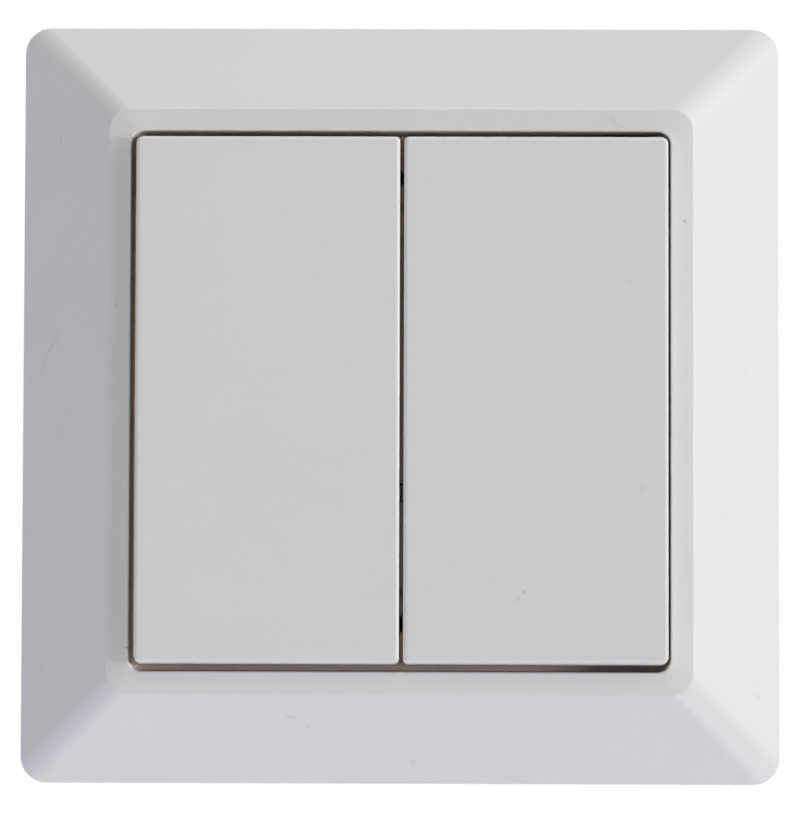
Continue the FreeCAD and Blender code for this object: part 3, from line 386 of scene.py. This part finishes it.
support_plastic = inner_plastic("support_plastic", (0.74, 0.66, 0.58, 1),
                                (0.82, 0.74, 0.67, 1), 0.62, 0.5 * MM)
case_plastic = inner_plastic("case_plastic", (0.38, 0.345, 0.32, 1),
                             (0.45, 0.415, 0.39, 1), 0.58, 0.4 * MM)
black_plastic = inner_plastic("black_plastic", (0.022, 0.022, 0.023, 1),
                              (0.038, 0.037, 0.036, 1), 0.50, 0.3 * MM)
plunger_plastic = inner_plastic("plunger_plastic", (0.10, 0.09, 0.08, 1),
                                (0.14, 0.13, 0.12, 1), 0.40, 0.3 * MM)

# %% [markdown]
# The circuit board is glass laminate under a green lacquer. Copper tracks show through it as
# lighter, slightly raised lines, and small tinned holes join the two faces. The tracks could be
# drawn one by one, but nobody follows them to their ends, so stripes along both directions of
# the board, each kept to patches of it, stand for them.

# %% Circuit board
LACQUER = (0.030, 0.190, 0.085, 1)
OVER_COPPER = (0.055, 0.300, 0.130, 1)
TINNED = (0.62, 0.62, 0.60, 1)
LACQUER_CLOUD = 1.0 * MM
LACQUER_ROUGH = (0.28, 0.42)
LACQUER_COAT = {"Coat Weight": 0.2, "Coat Roughness": 0.2}
TRACK_PITCH = 1.3 * MM
TRACK_EDGE = (0.72, 0.78)
TRACK_HEIGHT = 0.03 * MM
# A wave texture of scale one repeats about three times in a metre
WAVES_PER_METRE = 3
PATCH_EDGE = (0.50, 0.52)
PATCHES = {0: 9 * MM, 90: 7 * MM}
HOLE_PITCH = 3.4 * MM
HOLE_STRAY = 0.4
HOLE_SHARE = 0.10
HOLE_BLUR = 1.2


def tracks(tree, turn, patch):
    """One on the copper tracks that run in one direction, within patches of the board."""
    stripes = add_node(tree, "TexWave", {
        "Vector": own_space(tree, rotation=(0, radians(turn), 0)), "Distortion": 0.0,
        "Scale": 1 / (TRACK_PITCH * WAVES_PER_METRE)}, bands_direction="X").outputs["Fac"]
    line = spread(tree, stripes, 0, 1, *TRACK_EDGE)
    inside = spread(tree, cloud(tree, patch, detail=0.0), 0, 1, *PATCH_EDGE)
    return reckon(tree, "MULTIPLY", line, inside)


def board_links(tree):
    copper = reckon(tree, "MAXIMUM", *[tracks(tree, *patch) for patch in PATCHES.items()])
    cells = add_node(tree, "TexVoronoi", {
        "Vector": own_space(tree, scale=(1, 0, 1)), "Scale": 1 / HOLE_PITCH,
        "Randomness": HOLE_STRAY})
    hole = spread(tree, cells.outputs["Distance"], 1, 0, HOLE_SHARE, HOLE_SHARE * HOLE_BLUR)
    lacquer = blend(tree, copper, LACQUER, OVER_COPPER)
    return {"Base Color": blend(tree, hole, lacquer, TINNED),
            "Metallic": hole,
            "Roughness": spread(tree, cloud(tree, LACQUER_CLOUD, detail=3.0), *LACQUER_ROUGH),
            "Normal": relief(tree, copper, TRACK_HEIGHT)}


board_laminate = new_finish("board_laminate", LACQUER_COAT, board_links)

# %% [markdown]
# The metals are thin and made in different ways. The cell's can is pressed nickel steel, the
# contacts are strip that was rolled along its length, the screws are zinc plated and the aerial
# is enamelled copper. Each is a metal with its own colour, and its gloss has fine clouds. On the
# strip they are stretched along the direction in which the rolls ran, so they become streaks.

# %% Metals
DULL_CLOUD = 4 * MM
METAL_ROUGH_SPREAD = 0.07
STREAK_DEPTH = 0.004 * MM
EVEN = (1, 1, 1)
ROLLED = (0.1, 1, 1)


def metal(name, dark, light, rough, streak, stretch=EVEN, enamel=0.0):
    """Metal whose tone and gloss vary, under a clear coat where it is enamelled."""
    def links(tree):
        streaks = cloud(tree, streak, detail=4.0, stretch=stretch)
        dulled = spread(tree, cloud(tree, DULL_CLOUD, detail=3.0), 0, 1)
        return {"Base Color": blend(tree, dulled, dark, light),
                "Roughness": spread(tree, streaks, rough - METAL_ROUGH_SPREAD,
                                    rough + METAL_ROUGH_SPREAD),
                "Normal": relief(tree, streaks, STREAK_DEPTH)}
    return new_finish(name, {"Metallic": 1.0, "Coat Weight": enamel}, links)


nickel_steel = metal("nickel_steel", (0.66, 0.65, 0.62, 1), (0.76, 0.75, 0.73, 1),
                     0.27, 0.4 * MM)
spring_metal = metal("spring_metal", (0.68, 0.64, 0.52, 1), (0.79, 0.76, 0.66, 1),
                     0.24, 0.5 * MM, stretch=ROLLED)
screw_steel = metal("screw_steel", (0.44, 0.44, 0.46, 1), (0.57, 0.57, 0.59, 1),
                    0.34, 0.3 * MM)
copper_wire = metal("copper_wire", (0.62, 0.28, 0.12, 1), (0.76, 0.40, 0.20, 1),
                    0.26, 0.3 * MM, enamel=1.0)

# %% [markdown]
# The signal lamp is a drop of clear resin that looks milky yellow while it is off. Glass with
# something cloudy inside would do, but it renders slowly. The resin lets some light in and
# scatters it, so its finish has a little subsurface besides the cloudy tone.

# %% Lamp resin
RESIN_DARK = (0.78, 0.72, 0.52, 1)
RESIN_LIGHT = (0.88, 0.85, 0.72, 1)
RESIN_CLOUD = 0.8 * MM
RESIN_ROUGH = (0.15, 0.28)
RESIN_SCATTER = {"Subsurface Weight": 0.5, "Subsurface Scale": 0.4 * MM}


def resin_links(tree):
    haze = spread(tree, cloud(tree, RESIN_CLOUD, detail=3.0), 0, 1)
    return {"Base Color": blend(tree, haze, RESIN_DARK, RESIN_LIGHT),
            "Roughness": spread(tree, haze, *RESIN_ROUGH, start=0, end=1)}


lamp_plastic = new_finish("lamp_plastic", RESIN_SCATTER, resin_links)

# %% [markdown]
# Five pieces are modelled here by hand, with the tools of edit mode. Each starts as a primitive
# at its size and place. Then edges and faces are found by where they lie, because their numbers
# change with every step, and the next tool works on what was found.

# %% Tools for picking
NEAR = 0.003 * MM


def begin(name):
    """Name the primitive just added and bring its place and size into its mesh."""
    bpy.ops.object.transform_apply(location=True, rotation=True, scale=True)
    bpy.context.object.name = name
    return bpy.context.object


def pick(kind, test):
    """In edit mode, select the corners, edges or faces that pass the test, and only those."""
    bpy.ops.mesh.select_mode(type=kind)
    bpy.ops.mesh.select_all(action="DESELECT")
    mesh = bpy.context.edit_object.data
    shape = bmesh.from_edit_mesh(mesh)
    for part in {"VERT": shape.verts, "EDGE": shape.edges, "FACE": shape.faces}[kind]:
        if test(part):
            part.select_set(True)
    bmesh.update_edit_mesh(mesh)


def at_depth(part, *depths):
    """True where all corners of an edge or face lie in one plane, so many mm from the wall."""
    return any(all(abs(corner.co.y + depth * MM) < NEAR for corner in part.verts)
               for depth in depths)


def round_off(test, setback, steps):
    """In edit mode, round the edges that pass the test, so many mm back on both sides."""
    pick("EDGE", test)
    bpy.ops.mesh.bevel(offset=setback * MM, segments=steps, affect="EDGES")


def turn_outwards():
    """In edit mode, make every face of the closed mesh point outwards."""
    bpy.ops.mesh.select_all(action="SELECT")
    bpy.ops.mesh.normals_make_consistent(inside=False)


print("a place is met within", NEAR / MM, "mm")

# %% [markdown]
# Frame and rockers are mouldings whose walls are ruled from one rounded outline to the next. A
# bevelled cube would come close, but its corners couldn't change their radius on the way. So each
# outline is a plane with bevelled corners, of which only the rim is kept, and neighbouring rims
# are bridged. A piece of this kind starts without any mesh, and the outlines are added to it.

# %% Tools for ruled walls
FACING = (radians(90), 0, 0)
CORNER_STEPS = 8


def begin_empty(name):
    """A new piece in edit mode, with nothing in its mesh."""
    bpy.ops.object.select_all(action="DESELECT")
    bpy.ops.mesh.primitive_plane_add(size=MM)
    piece = begin(name)
    bpy.ops.object.mode_set(mode="EDIT")
    bpy.ops.mesh.delete(type="VERT")
    return piece


def add_outline(left, right, low, high, depth, left_corner, right_corner):
    """In edit mode, add a rounded rectangle at a depth, all in mm, and leave only its rim."""
    middle = Vector(((left + right) / 2, -depth, (low + high) / 2)) * MM
    bpy.ops.mesh.select_all(action="DESELECT")
    bpy.ops.mesh.primitive_plane_add(size=MM, rotation=FACING, location=middle)
    bpy.ops.transform.resize(value=(right - left, 1, high - low), center_override=middle)
    for side, radius in ((left, left_corner), (right, right_corner)):
        pick("VERT", lambda corner: (abs(corner.co.y + depth * MM) < NEAR
                                     and abs(corner.co.x - side * MM) < NEAR))
        bpy.ops.mesh.bevel(offset=radius * MM, segments=CORNER_STEPS, affect="VERTICES")
    pick("FACE", lambda face: at_depth(face, depth))
    bpy.ops.mesh.delete(type="ONLY_FACE")


def open_edge(edge, *depths):
    """True for the edges of an open rim at one of the depths."""
    return len(edge.link_faces) < 2 and at_depth(edge, *depths)


def bridge(first, second):
    """In edit mode, span the wall between the open rims at two depths."""
    pick("EDGE", lambda edge: open_edge(edge, first, second))
    bpy.ops.mesh.bridge_edge_loops()


print("an outline has", 4 * (CORNER_STEPS + 1), "corners")

# %% [markdown]
# The outer frame is a thin shell. From the wall it rises as a low rim, leans inwards as a broad
# bevel, flattens to a narrow band and turns back into the opening, where a skirt and a lip grip
# the clamp ring. A mould makes all of it in one shot, so the shell is one skin too: ten rounded
# squares are bridged until it closes on itself. Where two rims lie in one plane, the inner one
# is set a hair further from the wall, or the bridge between them comes out twisted.

# %% Frame: the shell
FRAME_RINGS = {
    # name: (side, corner radius, depth) in mm, in the order in which the skin runs round
    "rim_back": (80.0, 2.75, 0.30), "rim_front": (80.0, 2.75, 1.90),
    "band_outside": (60.55, 2.4, 11.10), "opening_front": (55.8, 1.4, 11.50),
    "opening_back": (55.8, 1.4, 6.38), "lip_front": (48.6, 1.5, 6.39),
    "lip_back": (48.6, 1.5, 5.42), "skirt_back": (58.8, 2.9, 5.41),
    "skirt_front": (58.8, 2.9, 9.50), "cavity_back": (76.4, 1.85, 0.31),
}
FRAME_EDGES = {"rim_front": 0.13, "band_outside": 0.16, "opening_front": 0.18}
FRAME_EDGE_STEPS = 4
frame_low, frame_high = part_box("outer_frame")
frame_middle = (frame_low + frame_high) / 2
frame_across, frame_up = frame_middle.x / MM, frame_middle.z / MM

frame_shell = begin_empty("frame_shell")
for side, corner, depth in FRAME_RINGS.values():
    add_outline(frame_across - side / 2, frame_across + side / 2,
                frame_up - side / 2, frame_up + side / 2, depth, corner, corner)
ring_depths = [depth for side, corner, depth in FRAME_RINGS.values()]
for first, second in zip(ring_depths, ring_depths[1:] + ring_depths[:1]):
    bridge(first, second)
turn_outwards()
for ring, setback in FRAME_EDGES.items():
    side, corner, depth = FRAME_RINGS[ring]
    round_off(lambda edge: at_depth(edge, depth), setback, FRAME_EDGE_STEPS)
bpy.ops.object.mode_set(mode="OBJECT")
print("frame shell", len(frame_shell.data.polygons), "faces")

# %% [markdown]
# Ribs, ears and recesses could be drawn out of the skin face by face. It is plainer to make each
# as a solid of its own, cut it to shape, and then weld it to the piece or cut it out of it with a
# Boolean. A finished piece is shaded so that its small roundings are smooth and its flats stay
# flat, and it takes the place of the imported solid and rides on the same body.

# %% Tools for solids
FINE = 1e-6
SMOOTH_ANGLE = radians(30)


def add_block(name, left, right, back, front, low, high):
    """A plain block between two places across, two depths and two heights, in mm."""
    bpy.ops.object.select_all(action="DESELECT")
    bpy.ops.mesh.primitive_cube_add(
        size=MM, scale=(right - left, front - back, high - low),
        location=Vector(((left + right) / 2, -(front + back) / 2, (low + high) / 2)) * MM)
    return begin(name)


def cut_off(place, normal):
    """In edit mode, cut everything with a plane and close it, leaving what lies behind."""
    bpy.ops.mesh.select_all(action="SELECT")
    bpy.ops.mesh.bisect(plane_co=Vector(place) * MM, plane_no=normal,
                        use_fill=True, clear_outer=True, threshold=FINE)


def copy_over(across, up):
    """In edit mode, copy everything so many mm across and up."""
    bpy.ops.mesh.select_all(action="SELECT")
    bpy.ops.mesh.duplicate_move(TRANSFORM_OT_translate={"value": (across * MM, 0, up * MM)})


def combine(piece, tool, operation):
    """Weld the tool's solid to the piece, or cut it out, and remove the tool."""
    bpy.context.view_layer.objects.active = piece
    step = piece.modifiers.new("combine", "BOOLEAN")
    step.operation = operation
    step.solver = "EXACT"
    step.object = tool
    bpy.ops.object.modifier_apply(modifier=step.name)
    bpy.data.meshes.remove(tool.data)


def hand_over(piece, node, body, finish):
    """Smooth the small roundings, keep the flats flat, and put the piece in its node's place."""
    bpy.ops.object.select_all(action="DESELECT")
    piece.select_set(True)
    bpy.context.view_layer.objects.active = piece
    bpy.ops.object.shade_smooth_by_angle(angle=SMOOTH_ANGLE)
    flats = piece.modifiers.new("flats", "WEIGHTED_NORMAL")
    flats.keep_sharp = True
    bpy.ops.object.modifier_apply(modifier=flats.name)
    piece.data.materials.clear()
    piece.data.materials.append(finish)
    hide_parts(node)
    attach(piece, body)
    print(piece.name, "has", len(piece.data.polygons), "faces")


print("a cut merges what lies within", FINE / MM, "mm")

# %% [markdown]
# Two ribs on each side brace the bevel against the skirt from behind, so the thin wall doesn't
# drum when a finger slides over it. One rib is a slab cut along two slopes. It is copied once
# to the other side of the middle, the pair is spun round the frame, and all eight are welded in.

# %% Frame: its ribs
RIB_THICK = 1.2
RIB_ASIDE = 12.0
RIB_BACK = 2.2
RIB_FRONT = 9.5
RIB_INNER = 29.1
RIB_OUTER = 36.68
RIB_FOOT = 29.7
RIB_TURNS = 3
SKIRT_START = 5.4
rib_across = frame_across + RIB_ASIDE

ribs = add_block("frame_ribs", rib_across - RIB_THICK / 2, rib_across + RIB_THICK / 2,
                 RIB_BACK, RIB_FRONT, frame_up + RIB_INNER, frame_up + RIB_OUTER)
bpy.ops.object.mode_set(mode="EDIT")
cut_off((0, -RIB_FRONT, frame_up + RIB_FOOT),
        (0, RIB_FOOT - RIB_OUTER, RIB_FRONT - RIB_BACK))
cut_off((0, -SKIRT_START, frame_up + RIB_INNER),
        (0, RIB_FOOT - RIB_INNER, RIB_BACK - SKIRT_START))
copy_over(-2 * RIB_ASIDE, 0)
bpy.ops.mesh.select_all(action="SELECT")
bpy.ops.mesh.spin(steps=RIB_TURNS, dupli=True, angle=radians(90 * RIB_TURNS),
                  center=frame_middle, axis=(0, 1, 0))
turn_outwards()
bpy.ops.object.mode_set(mode="OBJECT")
combine(frame_shell, ribs, "UNION")
hand_over(frame_shell, "outer_frame", "base", frame_white)

# %% [markdown]
# A rocker is a shallow tray turned to the wall. Its two ends are arcs about the pivot, so the gap
# to the frame stays the same while it tilts. That is why the tray isn't a cube with bevels: its
# outlines are set at four depths, each as long as the arc is there, and bridged. Two smaller
# ones make the hollow behind, and the front and the bottom of the hollow are filled.

# %% Rocker: the tray
PIVOT_DEPTH = 8.0
FACE_DEPTH = 13.0
FACE_HALF = 26.95
HEM_DEPTH = 9.2
CEILING_DEPTH = 11.4
HAIR = 0.01
WALL_DEPTHS = (HEM_DEPTH, 10.5, 11.8, FACE_DEPTH)
HOLLOW_DEPTHS = (CEILING_DEPTH, HEM_DEPTH + HAIR)
ROCKER_WALL = 1.5
OUTER_CORNER = 0.65
INNER_CORNER = 0.5
HOLLOW_CORNER = 0.2
rocker_low, rocker_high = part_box("left_rocker")
outer_flank, inner_flank = rocker_low.x / MM, rocker_high.x / MM
end_radius = hypot(FACE_HALF, FACE_DEPTH - PIVOT_DEPTH)
hollow_reach = FACE_HALF - ROCKER_WALL

left_rocker = begin_empty("left_rocker_shell")
for depth in HOLLOW_DEPTHS:
    add_outline(outer_flank + ROCKER_WALL, inner_flank - ROCKER_WALL,
                -hollow_reach, hollow_reach, depth, HOLLOW_CORNER, HOLLOW_CORNER)
for depth in WALL_DEPTHS:
    reach = sqrt(end_radius ** 2 - (depth - PIVOT_DEPTH) ** 2)
    add_outline(outer_flank, inner_flank, -reach, reach, depth, OUTER_CORNER, INNER_CORNER)
tray_depths = HOLLOW_DEPTHS + WALL_DEPTHS
for first, second in zip(tray_depths, tray_depths[1:]):
    bridge(first, second)
for depth in (CEILING_DEPTH, FACE_DEPTH):
    pick("EDGE", lambda edge: open_edge(edge, depth))
    bpy.ops.mesh.edge_face_add()
turn_outwards()
print("tray with ends of radius", round(end_radius, 2), "mm")

# %% [markdown]
# The face of a moulded rocker rolls off slightly along its edge, half a millimetre wide, and the
# light catches there. A rounding alone would be narrower than that. So the face is inset, the rim
# round it is pushed back by a sixth of a millimetre, and only then is the rim rounded.

# %% Rocker: the edge of its face
ROLL_WIDTH = 0.48
ROLL_DROP = 0.17
FACE_ROUND = 0.23
FACE_STEPS = 5
BEHIND_FACE = 0.03


def face_rim(edge):
    """True for the edges where the front face meets what lies behind it."""
    return at_depth(edge, FACE_DEPTH) and any(
        corner.co.y > (BEHIND_FACE - FACE_DEPTH) * MM
        for face in edge.link_faces for corner in face.verts)


pick("FACE", lambda face: at_depth(face, FACE_DEPTH))
bpy.ops.mesh.inset(thickness=ROLL_WIDTH * MM)
pick("EDGE", face_rim)
bpy.ops.transform.translate(value=(0, ROLL_DROP * MM, 0))
bpy.ops.mesh.bevel(offset=FACE_ROUND * MM, segments=FACE_STEPS, affect="EDGES")
bpy.ops.object.mode_set(mode="OBJECT")
print("tray", len(left_rocker.data.polygons), "faces")

# %% [markdown]
# Behind the face hang the parts that make it work. Two ears with holes snap over the pins of the
# sender's case, two blunt ribs press the switches, and two long ribs keep the face from bending.
# An ear and a press rib are the same tongue: a cylinder is cut in half, and the cut face is
# pulled up into the tray.

# %% Rocker: a tongue
ACROSS = (0, radians(90), 0)
ROUND_SIDES = 48
ROOT_DEPTH = 11.7


def add_cylinder(name, radius, length, middle, turn, sides=ROUND_SIDES):
    """A cylinder about its middle, in mm, turned from upright."""
    bpy.ops.object.select_all(action="DESELECT")
    bpy.ops.mesh.primitive_cylinder_add(
        vertices=sides, radius=radius * MM, depth=length * MM, rotation=turn,
        location=Vector(middle) * MM)
    return begin(name)


def push(distance):
    """In edit mode, extrude what is picked so many mm to the wall, or to the room if negative."""
    bpy.ops.mesh.extrude_region_move(
        TRANSFORM_OT_translate={"value": (0, distance * MM, 0)})


def add_tongue(left, right, up, depth, radius):
    """A tongue with a round tip that hangs from the tray between two places across."""
    tongue = add_cylinder("tongue", radius, right - left, ((left + right) / 2, -depth, up), ACROSS)
    bpy.ops.object.mode_set(mode="EDIT")
    cut_off((0, -depth, 0), (0, -1, 0))
    pick("FACE", lambda face: at_depth(face, depth))
    push(depth - ROOT_DEPTH)
    turn_outwards()
    bpy.ops.object.mode_set(mode="OBJECT")
    return tongue


print("tongues are rooted", round(FACE_DEPTH - ROOT_DEPTH, 2), "mm behind the face")

# %% [markdown]
# Towards the middle of the switch the tray's wall is cut back, so that it clears the sender's case
# while the rocker tilts. Then the ribs and the tongues are welded in. Each ear could be made with
# its hole, but it is drilled once it is in place, by a cylinder longer than the ear is thick.

# %% Rocker: what hangs behind the face
RELIEF_DEPTH = 10.3
RELIEF_HALF = 23.5
STIFFENER_ASIDE = 6.0
STIFFENER_BACK = 10.6
STIFFENER_HALF_THICK = 0.5
STIFFENER_LENGTH = 52.4
PRESS_RADIUS = 1.0
PRESS_TIP = 9.95
PRESS_HALF = 3.0
PRESS_UP = 15.0
EARS = ((-2.1, -1.1), (-23.7, -22.7))
EAR_RADIUS = 1.895
PIN_HOLE_RADIUS = 1.05
DRILL_LENGTHS = 3
rocker_middle = (outer_flank + inner_flank) / 2

clear = add_block("clearance", inner_flank - 2 * ROCKER_WALL, inner_flank + ROCKER_WALL,
                  HEM_DEPTH - ROCKER_WALL, RELIEF_DEPTH, -RELIEF_HALF, RELIEF_HALF)
combine(left_rocker, clear, "DIFFERENCE")
for aside in (rocker_middle - STIFFENER_ASIDE, rocker_middle + STIFFENER_ASIDE):
    rib = add_block("stiffener", aside - STIFFENER_HALF_THICK, aside + STIFFENER_HALF_THICK,
                    STIFFENER_BACK, ROOT_DEPTH, -STIFFENER_LENGTH / 2, STIFFENER_LENGTH / 2)
    combine(left_rocker, rib, "UNION")
for up in (-PRESS_UP, PRESS_UP):
    press = add_tongue(rocker_middle - PRESS_HALF, rocker_middle + PRESS_HALF, up,
                       PRESS_TIP + PRESS_RADIUS, PRESS_RADIUS)
    combine(left_rocker, press, "UNION")
for left, right in EARS:
    combine(left_rocker, add_tongue(left, right, 0, PIVOT_DEPTH, EAR_RADIUS), "UNION")
    drill = add_cylinder("drill", PIN_HOLE_RADIUS, DRILL_LENGTHS * (right - left),
                         ((left + right) / 2, -PIVOT_DEPTH, 0), ACROSS)
    combine(left_rocker, drill, "DIFFERENCE")
print("left rocker", len(left_rocker.data.polygons), "faces")

# %% [markdown]
# The right rocker is the left one in a mirror, as the mould is. It gets its own copy of the mesh.
# A mirrored mesh is inside out, so its faces are turned round again.

# %% Rocker: the mirrored one
bpy.ops.object.select_all(action="DESELECT")
left_rocker.select_set(True)
bpy.context.view_layer.objects.active = left_rocker
bpy.ops.object.duplicate()
right_rocker = bpy.context.object
right_rocker.name = "right_rocker_shell"
right_rocker.scale.x = -1
bpy.ops.object.transform_apply(location=False, rotation=False, scale=True)
bpy.ops.object.mode_set(mode="EDIT")
turn_outwards()
bpy.ops.object.mode_set(mode="OBJECT")
hand_over(left_rocker, "left_rocker", "left_rocker", left_white)
hand_over(right_rocker, "right_rocker", "right_rocker", right_white)

# %% [markdown]
# The coin cell is a pressed can whose lip is crimped over a smaller cap, with a seal between
# them. Seen from behind it is a plain disc with a shallow pressed ring. A lathe profile would do,
# but insets and extrusions from one cylinder follow the way the can was drawn.

# %% Coin cell
CELL_RADIUS = 10.0
CELL_SIDES = 96
CELL_BACK = 1.3
LIP_DEPTH = 4.1
CAP_DEPTH = 4.5
SEAL_RADIUS = 9.0
CAP_RADIUS = 8.6
SEAL_DEEP = 0.3
PRESSED_RING = 1.3
PRESSED_DEEP = 0.06
CAN_ROUND = 0.4
CAN_STEPS = 5
CAP_ROUND = 0.15
CAP_STEPS = 3
RIM_NEAR = 0.01 * MM


def can_rim(edge):
    """True for the can's outermost edges, at its back and at its lip."""
    return at_depth(edge, CELL_BACK, LIP_DEPTH) and all(
        abs(hypot(end.co.x, end.co.z) - CELL_RADIUS * MM) < RIM_NEAR for end in edge.verts)


cell_can = add_cylinder("cell_can", CELL_RADIUS, LIP_DEPTH - CELL_BACK,
                        (0, -(LIP_DEPTH + CELL_BACK) / 2, 0), FACING, CELL_SIDES)
bpy.ops.object.mode_set(mode="EDIT")
pick("FACE", lambda face: at_depth(face, LIP_DEPTH))
bpy.ops.mesh.inset(thickness=(CELL_RADIUS - SEAL_RADIUS) * MM)
push(SEAL_DEEP)
bpy.ops.mesh.inset(thickness=(SEAL_RADIUS - CAP_RADIUS) * MM)
push(LIP_DEPTH - SEAL_DEEP - CAP_DEPTH)
pick("FACE", lambda face: at_depth(face, CELL_BACK))
bpy.ops.mesh.inset(thickness=PRESSED_RING * MM)
push(-PRESSED_DEEP)
round_off(can_rim, CAN_ROUND, CAN_STEPS)
round_off(lambda edge: at_depth(edge, CAP_DEPTH), CAP_ROUND, CAP_STEPS)
turn_outwards()
bpy.ops.object.mode_set(mode="OBJECT")
hand_over(cell_can, "coin_cell", "base", nickel_steel)

# %% [markdown]
# Four screws hold the case's halves together, and their heads are turned to the wall. On a real
# one the head is pressed from the end of a wire. Here it is the other way round: the shank is
# pulled out of the head's underside, which needs one primitive only and leaves no seam. Then the
# head's edge and the tip are rounded.

# %% One screw
SCREW_ASIDE = 17.6
SCREW_UP = 6.5
HEAD_RADIUS = 1.6
HEAD_BACK = 0.6
HEAD_FRONT = 1.5
HEAD_ROUND = 0.22
HEAD_STEPS = 4
SHANK_RADIUS = 0.9
SHANK_FRONT = 8.2
TIP_ROUND = 0.25
TIP_STEPS = 2

screws = add_cylinder("screws", HEAD_RADIUS, HEAD_FRONT - HEAD_BACK,
                      (SCREW_ASIDE, -(HEAD_FRONT + HEAD_BACK) / 2, SCREW_UP), FACING)
bpy.ops.object.mode_set(mode="EDIT")
pick("FACE", lambda face: at_depth(face, HEAD_FRONT))
bpy.ops.mesh.inset(thickness=(HEAD_RADIUS - SHANK_RADIUS) * MM)
push(HEAD_FRONT - SHANK_FRONT)
round_off(lambda edge: at_depth(edge, HEAD_BACK), HEAD_ROUND, HEAD_STEPS)
round_off(lambda edge: at_depth(edge, SHANK_FRONT), TIP_ROUND, TIP_STEPS)
bpy.ops.object.mode_set(mode="OBJECT")
print("one screw", len(screws.data.polygons), "faces")

# %% [markdown]
# The driver's cross is pressed into the head by a tapered punch. Two crossing wedges cut it out
# here: each is a block whose inner end is drawn together. Then the screw is copied to the other
# three corners, all within one mesh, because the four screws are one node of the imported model.

# %% The cross and the other screws
CROSS_LENGTH = 1.9
CROSS_WIDTH = 0.42
CROSS_DEEP = 0.6
CROSS_TAPER = 0.6
cross_floor = HEAD_BACK + CROSS_DEEP

for long, wide in ((CROSS_LENGTH, CROSS_WIDTH), (CROSS_WIDTH, CROSS_LENGTH)):
    punch = add_block("punch", SCREW_ASIDE - long / 2, SCREW_ASIDE + long / 2,
                      HEAD_BACK - CROSS_DEEP, cross_floor,
                      SCREW_UP - wide / 2, SCREW_UP + wide / 2)
    bpy.ops.object.mode_set(mode="EDIT")
    pick("FACE", lambda face: at_depth(face, cross_floor))
    bpy.ops.transform.resize(
        value=(CROSS_TAPER, 1, CROSS_TAPER),
        center_override=Vector((SCREW_ASIDE, -cross_floor, SCREW_UP)) * MM)
    bpy.ops.object.mode_set(mode="OBJECT")
    combine(screws, punch, "DIFFERENCE")
bpy.ops.object.select_all(action="DESELECT")
screws.select_set(True)
bpy.ops.object.mode_set(mode="EDIT")
copy_over(-2 * SCREW_ASIDE, 0)
copy_over(0, -2 * SCREW_UP)
turn_outwards()
bpy.ops.object.mode_set(mode="OBJECT")
hand_over(screws, "case_screws", "base", screw_steel)

# %% [markdown]
# The other twenty solids are good as they were packed: plates, housings, contacts and wire that
# hide behind the rockers. They could be modelled again, but nobody would see it, so each only
# gets the finish of its kind.

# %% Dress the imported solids
switch_bodies = [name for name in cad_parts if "switch_body" in name]
switch_plungers = [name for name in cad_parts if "switch_plunger" in name]
FINISHES = {
    support_plastic: ["wall_plate", "clamp_ring"],
    case_plastic: ["module_case", "module_cover"],
    board_laminate: ["circuit_board"],
    black_plastic: ["cell_holder", "radio_chip"] + switch_bodies,
    plunger_plastic: switch_plungers,
    nickel_steel: ["crystal"],
    spring_metal: ["cell_contact_negative", "cell_contact_positive"],
    lamp_plastic: ["status_led"],
    copper_wire: ["antenna_wire"],
}
for finish, names in FINISHES.items():
    for name in names:
        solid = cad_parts[name].data
        solid.materials.clear()
        solid.materials.append(finish)
print("dressed", sum(map(len, FINISHES.values())), "of", len(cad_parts), "nodes")
